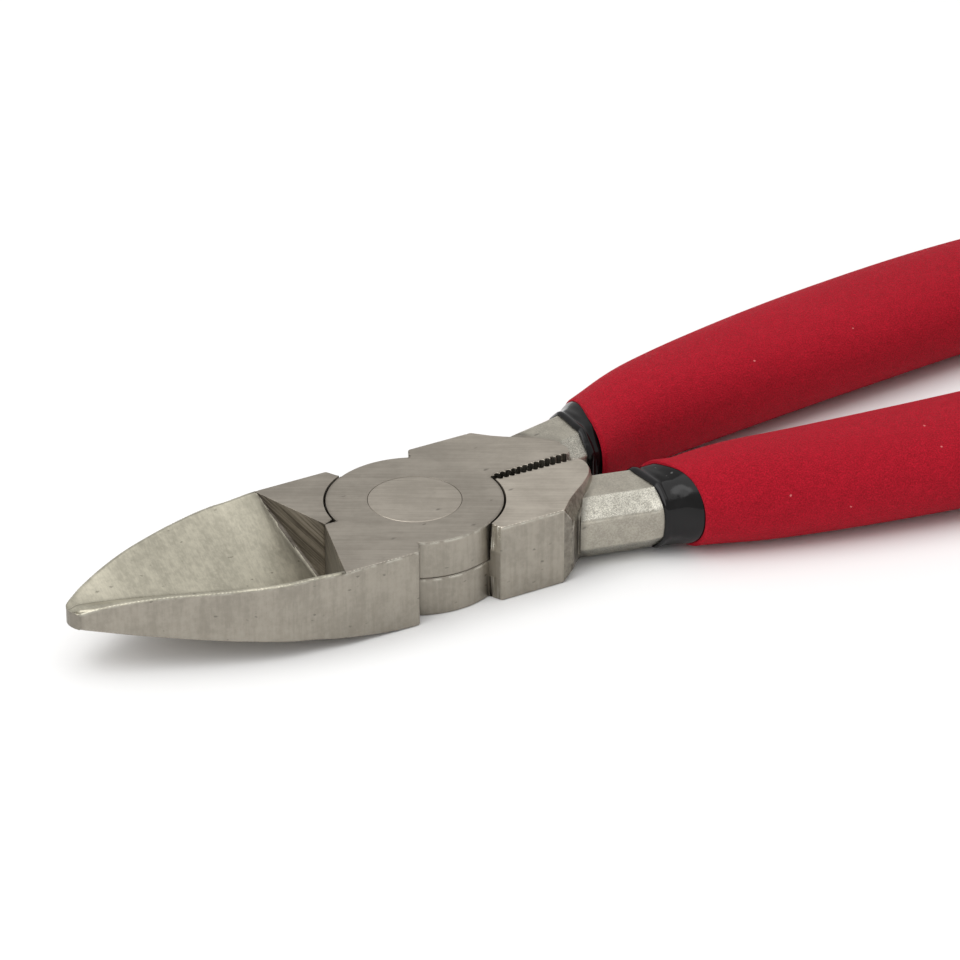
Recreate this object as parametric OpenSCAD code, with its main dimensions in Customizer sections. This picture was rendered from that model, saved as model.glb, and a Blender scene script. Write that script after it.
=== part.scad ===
// Diagonal cutting pliers of the eight-inch class, shown closed and lying flat.
// X runs from the tip of the jaws (-) to the ends of the handles (+), Y runs across the
// tool and Z points up out of the bevelled face. The origin is on the pivot's axis, at
// the underside of the head. The upper half has its jaw at -Y and its handle at +Y, and
// the lower half is the other way round.

/* [Head] */
// Thickness of the head
head_t = 11.2; // [9.4:0.1:13.6]
// Radius of the round lap discs that turn on the pivot
lap_r = 12; // [10.4:0.1:13]
// Width across the heels of the two jaws
jaw_w = 25.8; // [25:0.1:31]
// Width across the two blocks behind the pivot
block_w = 25.5; // [24.8:0.1:30.6]
// Distance from the pivot to the rear of the blocks
block_len = 25.3; // [24:0.1:27]
// Angle between the centre line and the step in front of each block
block_step = 64.3; // [58:0.1:70]
// Angle between the centre line and the step behind each jaw
jaw_step = 63; // [58:0.1:70]

/* [Jaws] */
// Distance from the pivot to the tip
jaw_len = 51.9; // [43:0.1:62.5]
// Radius of the blunt nose
nose_r = 2.6; // [2:0.1:3.2]
// Distance from the pivot to the point of the chevron wall
chevron_x = 13.8; // [13.5:0.1:16]
// How far the chevron wall leans forward from its point to its ends
chevron_lean = 3.9; // [2.5:0.1:5]
// Height of the cutting edge at the foot of the chevron wall
edge_root = 1.6; // [1.4:0.1:2.6]
// Depth of the cutting edge below the head's face at the tip
edge_tip = 1.6; // [1.4:0.1:2.4]
// Angle at which the underside rises to the tip
rise_angle = 9.2; // [7:0.1:9.4]
// How far the ridges drop from the head's face to the tip
ridge_drop = 2.1; // [1.8:0.1:2.4]
// Width of the flat land along each ridge
ridge_land = 0.6; // [0.3:0.1:1]

/* [Joint] */
// Diameter of the rivet's flush heads
rivet_head_d = 12.7; // [10.4:0.1:15]
// Thickness of each rivet head
rivet_head_t = 3; // [2:0.1:3.4]
// Diameter of the rivet's body
rivet_d = 9; // [7:0.1:9.8]
// Radial running clearance between the rivet and the upper half
run_gap = 0.05; // [0.02:0.01:0.09]
// Gap between the faces of the two laps
lap_gap = 0.06; // [0.02:0.01:0.12]
// Radial gap between a lap disc and the pocket round it
pocket_gap = 0.3; // [0.2:0.05:0.6]
// Gap between the cutting faces of the closed jaws
edge_gap = 0.04; // [0.02:0.01:0.08]

/* [Gripping teeth] */
// Number of grooves across each block
tooth_n = 13; // [9:1:13]
// Distance from one groove to the next
tooth_pitch = 0.9; // [0.75:0.05:0.9]
// Radius of a groove
tooth_r = 0.4; // [0.25:0.05:0.42]
// Distance between the two toothed faces at the front
teeth_gap_front = 0.9; // [0.6:0.1:1.2]
// Distance between the two toothed faces at the rear
teeth_gap_rear = 1.6; // [1.3:0.1:2]

/* [Handles] */
// Distance from the pivot to the ends of the grips
reach = 146; // [122:1:176]
// Greatest offset of a handle's centre line from the middle of the tool
bow = 21; // [18:0.5:25]
// Width of the steel shanks
shank_w = 10.4; // [9:0.1:11]
// Thickness of the steel shanks
shank_t = 9.2; // [7.7:0.1:9.2]
// Chamfer along the edges of the shanks
shank_chamfer = 2.4; // [1.6:0.1:2.6]
// Height of the lower shank above the head's underside
shank_lift = 0.7; // [0.7:0.1:1.4]
// Width of the steel tangs at their ends, inside the grips
tang_w = 7; // [5:0.1:8.6]
// Thickness of the steel tangs at their ends
tang_t = 6; // [4:0.1:7]

/* [Grips] */
// Distances from the pivot to the front edges of the black sleeves: lower, upper
sleeve_x = [30.6, 28.9]; // [28.5:0.1:32]
// Width of the black sleeve
sleeve_w = 12.1; // [11.8:0.1:12.4]
// Thickness of the black sleeve
sleeve_t = 10.5; // [10.3:0.1:10.7]
// Distances from the pivot to the front edges of the red grips: lower, upper
grip_x = [34.5, 32.1]; // [32:0.1:36.5]
// Tilt of the grips' front edges, back towards the outer side
grip_tilt = 8; // [0:1:10]
// Greatest width of the red grip
grip_w = 20.4; // [17:0.2:22.8]
// Greatest thickness of the red grip
grip_t = 13.3; // [12.6:0.1:16]
// Clearance between a tang, its sleeve and its grip
skin_gap = 0.08; // [0.05:0.01:0.15]

/* [Hidden] */
$fn = 96;

lower = 1;                  // the half whose jaw is at +Y
upper = -1;
past = 3;                   // how far a cutter runs past what it cuts
jaw_y = jaw_w / 2;
block_y = block_w / 2;
mid_z = head_t / 2;
rivet_r = rivet_d / 2;
rivet_head_r = rivet_head_d / 2;
grip_z = grip_t / 2;        // height of the grips' centre line
tang_end = reach - 8;
sleeve_end = reach - 5;
sides = 24;                 // sides of a sleeve or grip
function pick(s, values) = values[s == lower ? 0 : 1];

// ---- curves ----------------------------------------------------------------------
function mix(a, b, f) = a + (b - a) * f;
function clamp(v) = min(1, max(0, v));
function bezier(p, t) = pow(1 - t, 3) * p[0] + 3 * pow(1 - t, 2) * t * p[1]
                      + 3 * (1 - t) * t * t * p[2] + pow(t, 3) * p[3];
// point at t from 0 to 1 between the middle two of four points, passing through both
function through(p, t) = 0.5 * (2 * p[1] + (p[2] - p[0]) * t
                       + (2 * p[0] - 5 * p[1] + 4 * p[2] - p[3]) * t * t
                       + (3 * p[1] - p[0] - 3 * p[2] + p[3]) * t * t * t);

// ---- jaw -------------------------------------------------------------------------
// Distances in front of the pivot count as positive here: a point is [distance, offset].
nose_angle = 63;            // where the nose's arc meets the side of the jaw
nose_x = jaw_len - nose_r;
side_front = [nose_x + nose_r * cos(nose_angle), nose_r * sin(nose_angle)];
side_rear = [chevron_x + chevron_lean + 5.8, jaw_y - 0.65];
side_run = side_front[0] - side_rear[0];
side_curve = [side_rear, side_rear + [0.22 * side_run, -0.15],
              side_front - 0.35 * side_run * [sin(nose_angle), -cos(nose_angle)], side_front];
function nose_arc(n) = [for (i = [1 : n]) let (a = nose_angle * (1 - i / n))
                        [nose_x + nose_r * cos(a), nose_r * sin(a)]];
jaw_side = concat([[chevron_x + chevron_lean, jaw_y]],
                  [for (i = [0 : 16]) bezier(side_curve, i / 16)], nose_arc(6));
heel_corner = [jaw_y / tan(jaw_step), jaw_y];

// half width of the jaw at a distance in front of the pivot
function jaw_half(d) = lookup(d, jaw_side);

// the underside leaves the flat along an arc, then climbs in a straight line
rise_start = lap_r / 2;
rise_r = 50;
rise_arc_end = rise_start + rise_r * sin(rise_angle);
function rise_z(d) = d < rise_start ? 0
    : d < rise_arc_end ? rise_r - sqrt(rise_r * rise_r - pow(d - rise_start, 2))
    : rise_r * (1 - cos(rise_angle)) + (d - rise_arc_end) * tan(rise_angle);

// the ridges leave the head's face along a parabola near the tip
drop_run = 14;
function ridge_z(d) = head_t - ridge_drop * pow(max(0, d - jaw_len + drop_run) / drop_run, 2);

// the cutting edge climbs from the chevron to the tip, a little faster at first
function edge_z(u) = mix(edge_root, head_t - edge_tip, 1 - pow(1 - clamp(u), 1.2));

jaw_top = [for (i = [0 : 6]) let (d = jaw_len - drop_run * i / 6) [-d, ridge_z(d)]];
jaw_under = [for (i = [0 : 5]) let (d = mix(rise_start, rise_arc_end, i / 5)) [-d, rise_z(d)]];

// points of a ring on one side of the valley: past the centre, past the ridge, and above
function valley_ring(u, shift) = let (
    c = [-mix(chevron_x, jaw_len, u), 0, edge_z(u)],
    d = mix(chevron_x + chevron_lean, jaw_len - nose_r / 2, u),
    r = [-d, jaw_half(d) - ridge_land, ridge_z(d)],
    inner = c - 0.08 * (r - c) + [shift, 0, 0],
    outer = c + 1.3 * (r - c) + [shift, 0, 0],
    lid = head_t + past)
    [inner, outer, [outer[0], outer[1], lid], [inner[0], inner[1], lid]];

// solid through a list of rings with the same number of points, closed at both ends
module loft(rings) {
    n = len(rings[0]);
    m = len(rings);
    points = [for (ring = rings) each ring];
    wall = [for (i = [0 : m - 2], k = [0 : n - 1]) let (
        a = i * n + k, b = i * n + (k + 1) % n, c = a + n, d = b + n) each [[a, d, b], [a, c, d]]];
    first = [for (k = [1 : n - 2]) [0, k, k + 1]];
    last = [for (k = [1 : n - 2]) [(m - 1) * n, (m - 1) * n + k + 1, (m - 1) * n + k]];
    polyhedron(points, concat(wall, first, last));
}

module side_of(s) {
    if (s > 0) children();
    else mirror([0, 1, 0]) children();
}

module jaw() {
    difference() {
        intersection() {
            linear_extrude(head_t)
                polygon(concat([[0, edge_gap / 2], [-heel_corner[0], heel_corner[1]]],
                               [for (p = jaw_side) [-p[0], max(p[1], edge_gap / 2)]]));
            translate([0, jaw_y + past, 0]) rotate([90, 0, 0]) linear_extrude(jaw_y + 2 * past)
                polygon(concat([[0, head_t], [0, 0]], jaw_under,
                               [[-jaw_len, rise_z(jaw_len)]], jaw_top));
        }
        loft([for (i = [10 : -1 : 0]) valley_ring(i / 10, i == 10 ? -2 * nose_r : 0)]);
    }
}

// ---- block, shank and tang -------------------------------------------------------
block_rear = [[block_len - 0.6, teeth_gap_rear / 2 + 0.2], [block_len, 2.3], [block_len, 3.4],
              [block_len - 0.5, 4.4], [block_len - 1.4, 5.6], [block_len - 2.7, 6.9],
              [block_len - 4.4, 8.3], [block_len - 6.9, 10.2], [block_len - 9.5, block_y]];
teeth_front = lap_r + pocket_gap + 0.1;
function teeth_y(x) = mix(teeth_gap_front, teeth_gap_rear,
                          (x - teeth_front) / (block_len - teeth_front)) / 2;

module block() {
    difference() {
        linear_extrude(head_t)
            polygon(concat([[0, teeth_gap_front / 2], [teeth_front, teeth_gap_front / 2]],
                           block_rear, [[block_y / tan(block_step), block_y]]));
        for (i = [0 : tooth_n - 1])
            let (x = teeth_front + 0.7 + i * tooth_pitch)
                translate([x, teeth_y(x), -past]) cylinder(r = tooth_r, h = head_t + 2 * past, $fn = 24);
    }
}

// centre line of a handle, in plan: the neck stands in fixed places behind the head, and
// the rest follows the reach and the bow
neck = [37, 10.9];
function spine_at(f, g) = neck + [f * (reach - neck[0]), g * (bow - neck[1])];
spine_points = [[12, 4.2], [20, 6], [30, 8.3], neck, spine_at(0.083, 0.267), spine_at(0.211, 0.525),
                spine_at(0.394, 0.792), spine_at(0.624, 0.99), spine_at(0.835, 0.891),
                spine_at(1, 0.525), spine_at(1.1, 0.25), spine_at(1.2, 0)];
spine_steps = 8;
spine = [for (i = [0 : len(spine_points) - 4], t = [0 : spine_steps - 1])
         through([for (k = [0 : 3]) spine_points[i + k]], t / spine_steps)];
spine_ys = [for (p = spine) [p[0], p[1]]];
function spine_y(x) = lookup(x, spine_ys);
function spine_turn(x) = atan2(spine_y(x + 0.5) - spine_y(x - 0.5), 1);

// height of a handle's centre line: the lower shank lies low and the tang climbs to the
// middle of the grip, while the upper shank is flush with the head's face
function shank_z(s) = s == lower ? shank_lift + shank_t / 2 : head_t - shank_t / 2;
lift_x = 30.5;
lift_run = 14;
function spine_z(s, x) = mix(shank_z(s), grip_z, sin(90 * clamp((x - lift_x) / lift_run)));

// a ring of points across the handle at x, given the points of the section
function ring_at(s, x, section) = let (a = spine_turn(x), y = spine_y(x), z = spine_z(s, x))
    [for (p = section) [x - p[0] * sin(a), y + p[0] * cos(a), z + p[1]]];
function octagon(w, t, c) = [[w / 2, t / 2 - c], [w / 2 - c, t / 2], [c - w / 2, t / 2],
    [-w / 2, t / 2 - c], [-w / 2, c - t / 2], [c - w / 2, -t / 2], [w / 2 - c, -t / 2],
    [w / 2, c - t / 2]];
// rounded oblong whose corners are fuller than an ellipse's
function oval(hw, ht) = [for (k = [0 : sides - 1]) let (a = 360 * k / sides, e = 0.88)
    [hw * sign(cos(a)) * pow(abs(cos(a)), e), ht * sign(sin(a)) * pow(abs(sin(a)), e)]];

// the shank starts narrow inside its block, clear of the toothed face
lead_x = 17;
lead_run = 3.5;
lead_share = 0.62;
function lead(x) = mix(lead_share, 1, clamp((x - lead_x) / lead_run));
tang_x = concat([lead_x, lead_x + lead_run, 26], [for (i = [0 : 13]) mix(lift_x, tang_end, i / 13)]);
module tang(s, grow) {
    loft([for (x = tang_x) let (f = clamp((x - lift_x - 4) / (tang_end - lift_x)))
        ring_at(s, x + (x == tang_end ? grow : 0),
                octagon(lead(x) * mix(shank_w, tang_w, f) + 2 * grow, mix(shank_t, tang_t, f) + 2 * grow,
                        mix(shank_chamfer, 1.5, f)))]);
}

// ---- the two forged halves -------------------------------------------------------
module forged_half(s) {
    own_z = s == lower ? 0 : mid_z + lap_gap / 2;
    own_h = mid_z - lap_gap / 2;
    other_z = s == lower ? mid_z - lap_gap / 2 : -past;
    other_h = mid_z + lap_gap / 2 + past;
    head_z = s == lower ? -past : head_t - rivet_head_t - run_gap;
    head_h = s == lower ? past + rivet_head_t : rivet_head_t + run_gap + past;
    fit = s == lower ? 0 : run_gap;
    difference() {
        union() {
            difference() {
                union() {
                    side_of(s) jaw();
                    side_of(-s) block();
                    side_of(-s) tang(s, 0);
                }
                translate([0, 0, other_z]) cylinder(r = lap_r + pocket_gap, h = other_h);
            }
            translate([0, 0, own_z]) cylinder(r = lap_r, h = own_h);
        }
        translate([0, 0, -past]) cylinder(r = rivet_r + fit, h = head_t + 2 * past);
        translate([0, 0, head_z]) cylinder(r = rivet_head_r + fit, h = head_h);
    }
}

module lower_half() {
    color([0.66, 0.64, 0.58]) forged_half(lower);
}

module upper_half() {
    color([0.70, 0.68, 0.62]) forged_half(upper);
}

// the rivet is pressed into the lower half and its upper head turns in the upper half
module pivot_rivet() {
    color([0.62, 0.60, 0.55]) {
        cylinder(r = rivet_head_r, h = rivet_head_t);
        cylinder(r = rivet_r, h = head_t);
        translate([0, 0, head_t - rivet_head_t]) cylinder(r = rivet_head_r, h = rivet_head_t);
    }
}

// ---- sleeves and grips -----------------------------------------------------------
end_r = 9;                  // length of the rounded end
skin_lead = 3.6;            // how far a skin runs on before its front edge is trimmed
// share of the full section left at x, for a piece that ends at last
function round_end(x, last) = sqrt(max(0.02, 1 - pow(clamp((x - last + end_r) / end_r), 2)));

// trims the front of a skin at x, on a plane that stands across the tool, not the handle
module trim_front(x, tilt) {
    difference() {
        children();
        translate([x, spine_y(x), -past]) rotate([0, 0, -tilt])
            translate([-2 * grip_w, -grip_w, 0]) cube([2 * grip_w, 2 * grip_w, head_t + 3 * past]);
    }
}

// stations of a skin's rings: close together over its first stretch, then evenly on
function skin_xs(first, step, near_n, far_n, last, ends) = let (from = first + step * near_n)
    concat([for (i = [0 : near_n - 1]) first + step * i],
           [for (i = [0 : far_n]) mix(from, last - end_r, i / far_n)],
           [for (a = ends) last - end_r + end_r * sin(a)]);

module sleeve_skin(s, grow) {
    xs = skin_xs(pick(s, sleeve_x) - skin_lead, 3.5, 4, 8, sleeve_end, [30, 55, 75, 90]);
    loft([for (x = xs) let (e = round_end(x, sleeve_end), tip = x > sleeve_end - 1 ? grow : 0)
        ring_at(s, x + tip, oval(sleeve_w / 2 * e + grow, sleeve_t / 2 * e + grow))]);
}

module inner_sleeve(s) {
    side_of(-s) trim_front(pick(s, sleeve_x), 0) difference() {
        sleeve_skin(s, 0);
        tang(s, skin_gap);
    }
}

// the grip keeps its mouth's size up to swell_x, then swells to its full size
mouth_w = 12.9;
mouth_t = 11.2;
swell_x = 35.2;
swell_w = 62;
swell_t = 12;
function swell(x, mouth, full, run, power) =
    full / 2 - (full - mouth) / 2 * pow(1 - clamp((x - swell_x) / run), power);
module grip(s) {
    xs = skin_xs(pick(s, grip_x) - skin_lead, 2, 8, 12, reach, [20, 40, 58, 75, 90]);
    side_of(-s) trim_front(pick(s, grip_x), grip_tilt) difference() {
        loft([for (x = xs) let (e = round_end(x, reach))
            ring_at(s, x, oval(swell(x, mouth_w, grip_w, swell_w, 2.2) * e,
                               swell(x, mouth_t, grip_t, swell_t, 2) * e))]);
        sleeve_skin(s, skin_gap);
    }
}

module lower_inner_sleeve() {
    color([0.13, 0.14, 0.15]) inner_sleeve(lower);
}

module upper_inner_sleeve() {
    color([0.13, 0.14, 0.15]) inner_sleeve(upper);
}

module lower_grip() {
    color([0.71, 0.12, 0.18]) grip(lower);
}

module upper_grip() {
    color([0.71, 0.12, 0.18]) grip(upper);
}

lower_half();
upper_half();
pivot_rivet();
lower_inner_sleeve();
upper_inner_sleeve();
lower_grip();
upper_grip();
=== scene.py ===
"""Diagonal cutting pliers: the visible surfaces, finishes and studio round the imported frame.

The forged halves are laid out in plan, where one point has one top and one underside, and
the two heights are worked out there as whole arrays. The rivet, sleeves and grips are
profiles carried round an axis or along the handles' centre lines. Sizes are in millimetres
until a mesh is written, and the frame gives every size that it can.
"""
import logging
import math
from dataclasses import dataclass
from enum import Enum
from typing import Callable

import bpy
import numpy as np
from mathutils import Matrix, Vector
from mathutils.geometry import delaunay_2d_cdt


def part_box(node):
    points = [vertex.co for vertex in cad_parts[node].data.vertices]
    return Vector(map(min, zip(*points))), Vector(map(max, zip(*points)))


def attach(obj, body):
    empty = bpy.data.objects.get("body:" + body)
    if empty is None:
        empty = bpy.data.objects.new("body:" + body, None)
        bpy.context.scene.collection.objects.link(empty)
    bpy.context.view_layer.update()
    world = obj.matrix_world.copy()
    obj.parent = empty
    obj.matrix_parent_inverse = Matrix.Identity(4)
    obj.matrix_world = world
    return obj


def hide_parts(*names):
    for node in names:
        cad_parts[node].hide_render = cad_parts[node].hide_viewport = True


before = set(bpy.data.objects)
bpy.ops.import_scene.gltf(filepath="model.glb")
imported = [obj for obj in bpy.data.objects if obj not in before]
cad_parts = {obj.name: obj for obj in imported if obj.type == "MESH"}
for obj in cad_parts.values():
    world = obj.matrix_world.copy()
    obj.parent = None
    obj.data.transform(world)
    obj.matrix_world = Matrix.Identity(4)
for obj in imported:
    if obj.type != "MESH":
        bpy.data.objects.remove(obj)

Array = np.ndarray
Piece = bpy.types.Object
Tree = bpy.types.NodeTree
Node = bpy.types.Node
Socket = bpy.types.NodeSocket
Colour = tuple[float, float, float, float]
Triple = tuple[float, float, float]
MM = 0.001
LOG = logging.getLogger("pliers")
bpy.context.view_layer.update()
# Where the sleeves and grips start along X, and the lean of the grips' front edges in degrees.
SLEEVE_FRONT = {"lower": 30.6, "upper": 28.9}
GRIP_FRONT = {"lower": 34.5, "upper": 32.1}
GRIP_TILT = 8.0
# Distances inside the border at which the sheet gets rows of points, for the rounded edges.
INSETS = [0.02, 0.05, 0.1, 0.15, 0.2, 0.26, 0.36, 0.46, 0.62]
# Fall below the top of each upper row of the wall, and the share of the height that limits it.
WALL_STEPS = [(0.12, 0.1), (0.32, 0.25), (1.2, 0.45)]
# Shares of the masks' values on the border that the wall's rows get, from the top down: first for the rim
# mask, rubbed edges with a painted highlight, and for the painted sheen; then for the grime and its painted
# shade.
HIGHLIGHT_AND_WEAR_FADE = [0.35, 0.02, 0.0, 0.0, 0.0, 0.0]
SHADE_AND_GRIME_FADE = [1.1, 1.0, 0.9, 0.9, 1.0, 1.1]


class Zone(Enum):
    """A stretch of a forged half that has a finish of its own; the value is its slot."""

    FACE = 0
    BEVEL = 1
    WALL = 2
    SIDE = 3
    SHANK = 4
    BLASTED = 5


# ---------------------------------------------------------------------------------------
# Curves and fields
# ---------------------------------------------------------------------------------------


def mix(a: Array | float, b: Array | float, f: Array | float) -> Array | float:
    """a plus the share f of the way from a to b."""
    return a + (b - a) * f


def smooth_step(v: Array, low: float, high: float) -> Array:
    """0 below low, 1 above high, and 3t^2 - 2t^3 of the way t between them."""
    t = np.clip((np.asarray(v, float) - low) / (high - low), 0, 1)
    return t * t * (3 - 2 * t)


def quarter_round(distance: Array, radius: Array | float) -> Array:
    """Height of a quarter circle over its foot line.

    The height is r - sqrt(r^2 - (r - d)^2) at a distance d from the edge, and nothing past r.
    It is what an edge rounded to r loses, or what a cove of radius r gains.

    Args:
        distance: Distance from the edge, zero or more.
        radius: Radius of the quarter circle.

    Returns:
        Height at each distance.
    """
    left = np.clip(radius - distance, 0, radius)
    return radius - np.sqrt(np.maximum(radius * radius - left * left, 0))


def smooth_min(a: Array, b: Array, k: float) -> Array:
    """The lower of a and b, with the crease between them rounded over a height of k."""
    h = np.clip(0.5 + 0.5 * (b - a) / k, 0, 1)
    return mix(b, a, h) - k * h * (1 - h)


def bezier(points: Array, count: int) -> Array:
    """Points on a cubic Bezier curve, by its four Bernstein terms.

    Args:
        points: The four control points.
        count: How many points to give, both ends included.

    Returns:
        Points along the curve.
    """
    t = np.linspace(0, 1, count)[:, None]
    p = np.asarray(points, float)
    return (1 - t) ** 3 * p[0] + 3 * (1 - t) ** 2 * t * p[1] + 3 * (1 - t) * t**2 * p[2] + t**3 * p[3]


def arc(centre: Array, radius: float, start: float, end: float, count: int) -> Array:
    """Points on a circle's arc from one angle to another, in degrees."""
    a = np.radians(np.linspace(start, end, count))
    return np.asarray(centre, float) + radius * np.stack([np.cos(a), np.sin(a)], 1)


def through_points(points: Array, steps: int) -> Array:
    """Catmull-Rom curve through all points but the first and last.

    Each span is half the sum of 2p1, (p2 - p0)t, (2p0 - 5p1 + 4p2 - p3)t^2 and
    (3p1 - p0 - 3p2 + p3)t^3.

    Args:
        points: Control points, the two outer ones only for direction.
        steps: Points in each span.

    Returns:
        Points along the curve.
    """
    p = np.asarray(points, float)
    t = (np.arange(steps) / steps)[None, :, None]
    a, b, c, d = p[:-3, None], p[1:-2, None], p[2:-1, None], p[3:, None]
    square, cube = 2 * a - 5 * b + 4 * c - d, 3 * b - a - 3 * c + d
    spans = 0.5 * (2 * b + (c - a) * t + square * t**2 + cube * t**3)
    return spans.reshape(-1, p.shape[1])


def soften(corners: Array, radius: float, least_turn: float = 25.0) -> Array:
    """Rounds the sharp corners of a closed outline.

    A corner that turns more than least_turn is cut back by the radius along both of its
    sides and gets a quadratic curve through the cut.

    Args:
        corners: Outline points in order.
        radius: Distance cut back along each side.
        least_turn: Turn in degrees past which a corner counts as sharp.

    Returns:
        The outline with its sharp corners rounded.
    """
    p = np.asarray(corners, float)
    before, after = np.roll(p, 1, 0) - p, np.roll(p, -1, 0) - p
    lb, la = np.linalg.norm(before, axis=1), np.linalg.norm(after, axis=1)
    turn = np.degrees(np.arccos(np.clip((before * after).sum(1) / (lb * la), -1, 1)))
    cut = np.minimum(radius, 0.45 * np.minimum(lb, la))[:, None]
    a, b = p + before / lb[:, None] * cut, p + after / la[:, None] * cut
    t = np.linspace(0, 1, 5)[None, :, None]
    curve = (1 - t) ** 2 * a[:, None] + 2 * (1 - t) * t * p[:, None] + t**2 * b[:, None]
    return np.concatenate([curve[i] if turn[i] < 180 - least_turn else p[i : i + 1] for i in range(len(p))])


def refine(line: Array, longest: float) -> Array:
    """Adds points along a line so that no stretch of it is longer than longest."""
    run = np.diff(line, axis=0)
    count = np.maximum(1, np.ceil(np.linalg.norm(run, axis=1) / longest)).astype(int)
    which = np.repeat(np.arange(len(run)), count)
    share = (np.arange(count.sum()) - np.repeat(np.cumsum(count) - count, count)) / count[which]
    return np.concatenate([line[which] + run[which] * share[:, None], line[-1:]])


def inside(points: Array, outline: Array) -> Array:
    """Which points lie inside a closed outline, by counting crossings of a ray along +X."""
    x, y = points[:, :1], points[:, 1:]
    x0, y0 = outline[:, 0][None], outline[:, 1][None]
    x1, y1 = np.roll(outline[:, 0], -1)[None], np.roll(outline[:, 1], -1)[None]
    crosses = (y0 > y) != (y1 > y)
    at = x0 + (y - y0) / np.where(y1 == y0, 1e-12, y1 - y0) * (x1 - x0)
    return (crosses & (x < at)).sum(1) % 2 == 1


def distance_to(points: Array, starts: Array, ends: Array) -> Array:
    """Distance from each point to the nearest of many straight stretches.

    Args:
        points: Points in plan.
        starts: First ends of the stretches.
        ends: Second ends of the stretches.

    Returns:
        One distance per point.
    """
    run = ends - starts
    length2 = np.maximum((run**2).sum(1), 1e-12)
    nearest = []
    for part in np.array_split(points, max(1, len(points) // 1500)):
        away = part[:, None] - starts[None]
        t = np.clip((away * run).sum(2) / length2, 0, 1)
        nearest.append(np.sqrt(((away - t[..., None] * run) ** 2).sum(2)).min(1))
    return np.concatenate(nearest)


# ---------------------------------------------------------------------------------------
# Meshes
# ---------------------------------------------------------------------------------------


def add_mesh(name: str, points: Array, faces: list, sharp: float = 38.0) -> Piece:
    """Makes a smooth-shaded object whose mesh holds its place.

    Args:
        name: The piece's name.
        points: Vertices in millimetres.
        faces: Vertex numbers of each face, as seen from outside.
        sharp: Angle in degrees past which an edge stays sharp.

    Returns:
        The new object, at the origin.
    """
    mesh = bpy.data.meshes.new(name)
    mesh.from_pydata((np.asarray(points) * MM).tolist(), [], faces)
    mesh.polygons.foreach_set("use_smooth", np.ones(len(mesh.polygons), bool))
    mesh.set_sharp_from_angle(angle=math.radians(sharp))
    mesh.validate()
    mesh.update()
    piece = bpy.data.objects.new(name, mesh)
    bpy.context.scene.collection.objects.link(piece)
    return piece


def tube_faces(rings: int, sides: int, closed_ends: bool = True, loop: bool = False) -> list:
    """Faces of a tube of rings whose points run anticlockwise about its direction.

    Args:
        rings: Number of rings.
        sides: Points in a ring.
        closed_ends: Whether a face closes each end.
        loop: Whether the last ring joins the first.

    Returns:
        Vertex numbers of the faces.
    """
    i, k = np.meshgrid(np.arange(rings if loop else rings - 1), np.arange(sides), indexing="ij")
    j, n = (i + 1) % rings, (k + 1) % sides
    quads = np.stack([i * sides + k, i * sides + n, j * sides + n, j * sides + k], -1).reshape(-1, 4)
    faces = quads.tolist()
    if closed_ends and not loop:
        faces += [list(range(sides))[::-1], [(rings - 1) * sides + s for s in range(sides)]]
    return faces


@dataclass
class Layout:
    """Lines and points of a part in plan, which become one triangulated sheet."""

    lines: list[Array]
    dots: list[Array]
    keep: Callable[[Array], Array]

    def sheet(self, extra: Array | None = None) -> tuple[Array, Array]:
        """Triangulates the layout and drops the triangles outside the part.

        Args:
            extra: More points to place.

        Returns:
            Points in plan and triangles, anticlockwise from above.
        """
        starts = np.cumsum([0] + [len(line) for line in self.lines])
        edges = [(a + i, a + i + 1) for a, line in zip(starts, self.lines) for i in range(len(line) - 1)]
        loose = self.dots + ([extra] if extra is not None else [])
        points = np.concatenate(self.lines + loose)
        found = delaunay_2d_cdt([Vector(p) for p in points.tolist()], edges, [], 0, 1e-4)
        flat, tris = np.array([tuple(v) for v in found[0]]), np.array(found[2])
        corner = flat[tris]
        side_a, side_b = corner[:, 1] - corner[:, 0], corner[:, 2] - corner[:, 0]
        area = side_a[:, 0] * side_b[:, 1] - side_a[:, 1] * side_b[:, 0]
        tris = np.where((area < 0)[:, None], tris[:, ::-1], tris)
        tris = tris[self.keep(corner.mean(1))]
        used, again = np.unique(tris, return_inverse=True)
        return flat[used], again.reshape(tris.shape)

    @staticmethod
    def border(tris: Array) -> Array:
        """Directed edges that only one triangle has, with the part on their left."""
        edges = np.concatenate([tris[:, [0, 1]], tris[:, [1, 2]], tris[:, [2, 0]]])
        _, first, count = np.unique(np.sort(edges, 1), axis=0, return_index=True, return_counts=True)
        return edges[first[count == 1]]


def inset_rows(start: Array, end: Array, insets: list[float], spacing: float) -> Array:
    """Points along a border, moved into the part by each inset.

    A border stretch from a to b has the part on its left, so its inward normal is its
    direction turned a quarter to the left. Points nearer to another stretch are dropped.

    Args:
        start: First ends of the border's stretches.
        end: Second ends.
        insets: Distances into the part.
        spacing: Greatest distance between points along the border.

    Returns:
        Points in plan.
    """
    run = end - start
    length = np.linalg.norm(run, axis=1)
    count = np.ceil(length / spacing).astype(int)
    which = np.repeat(np.arange(len(run)), count)
    share = (np.arange(count.sum()) - np.repeat(np.cumsum(count) - count, count) + 0.5) / count[which]
    base = start[which] + run[which] * share[:, None]
    normal = (np.stack([-run[:, 1], run[:, 0]], 1) / np.maximum(length, 1e-9)[:, None])[which]
    rows = np.concatenate([base + normal * inset for inset in insets])
    wanted = np.repeat(insets, len(base))
    return rows[distance_to(rows, start, end) > wanted - 0.004]


# ---------------------------------------------------------------------------------------
# The tool's sizes
# ---------------------------------------------------------------------------------------


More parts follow.
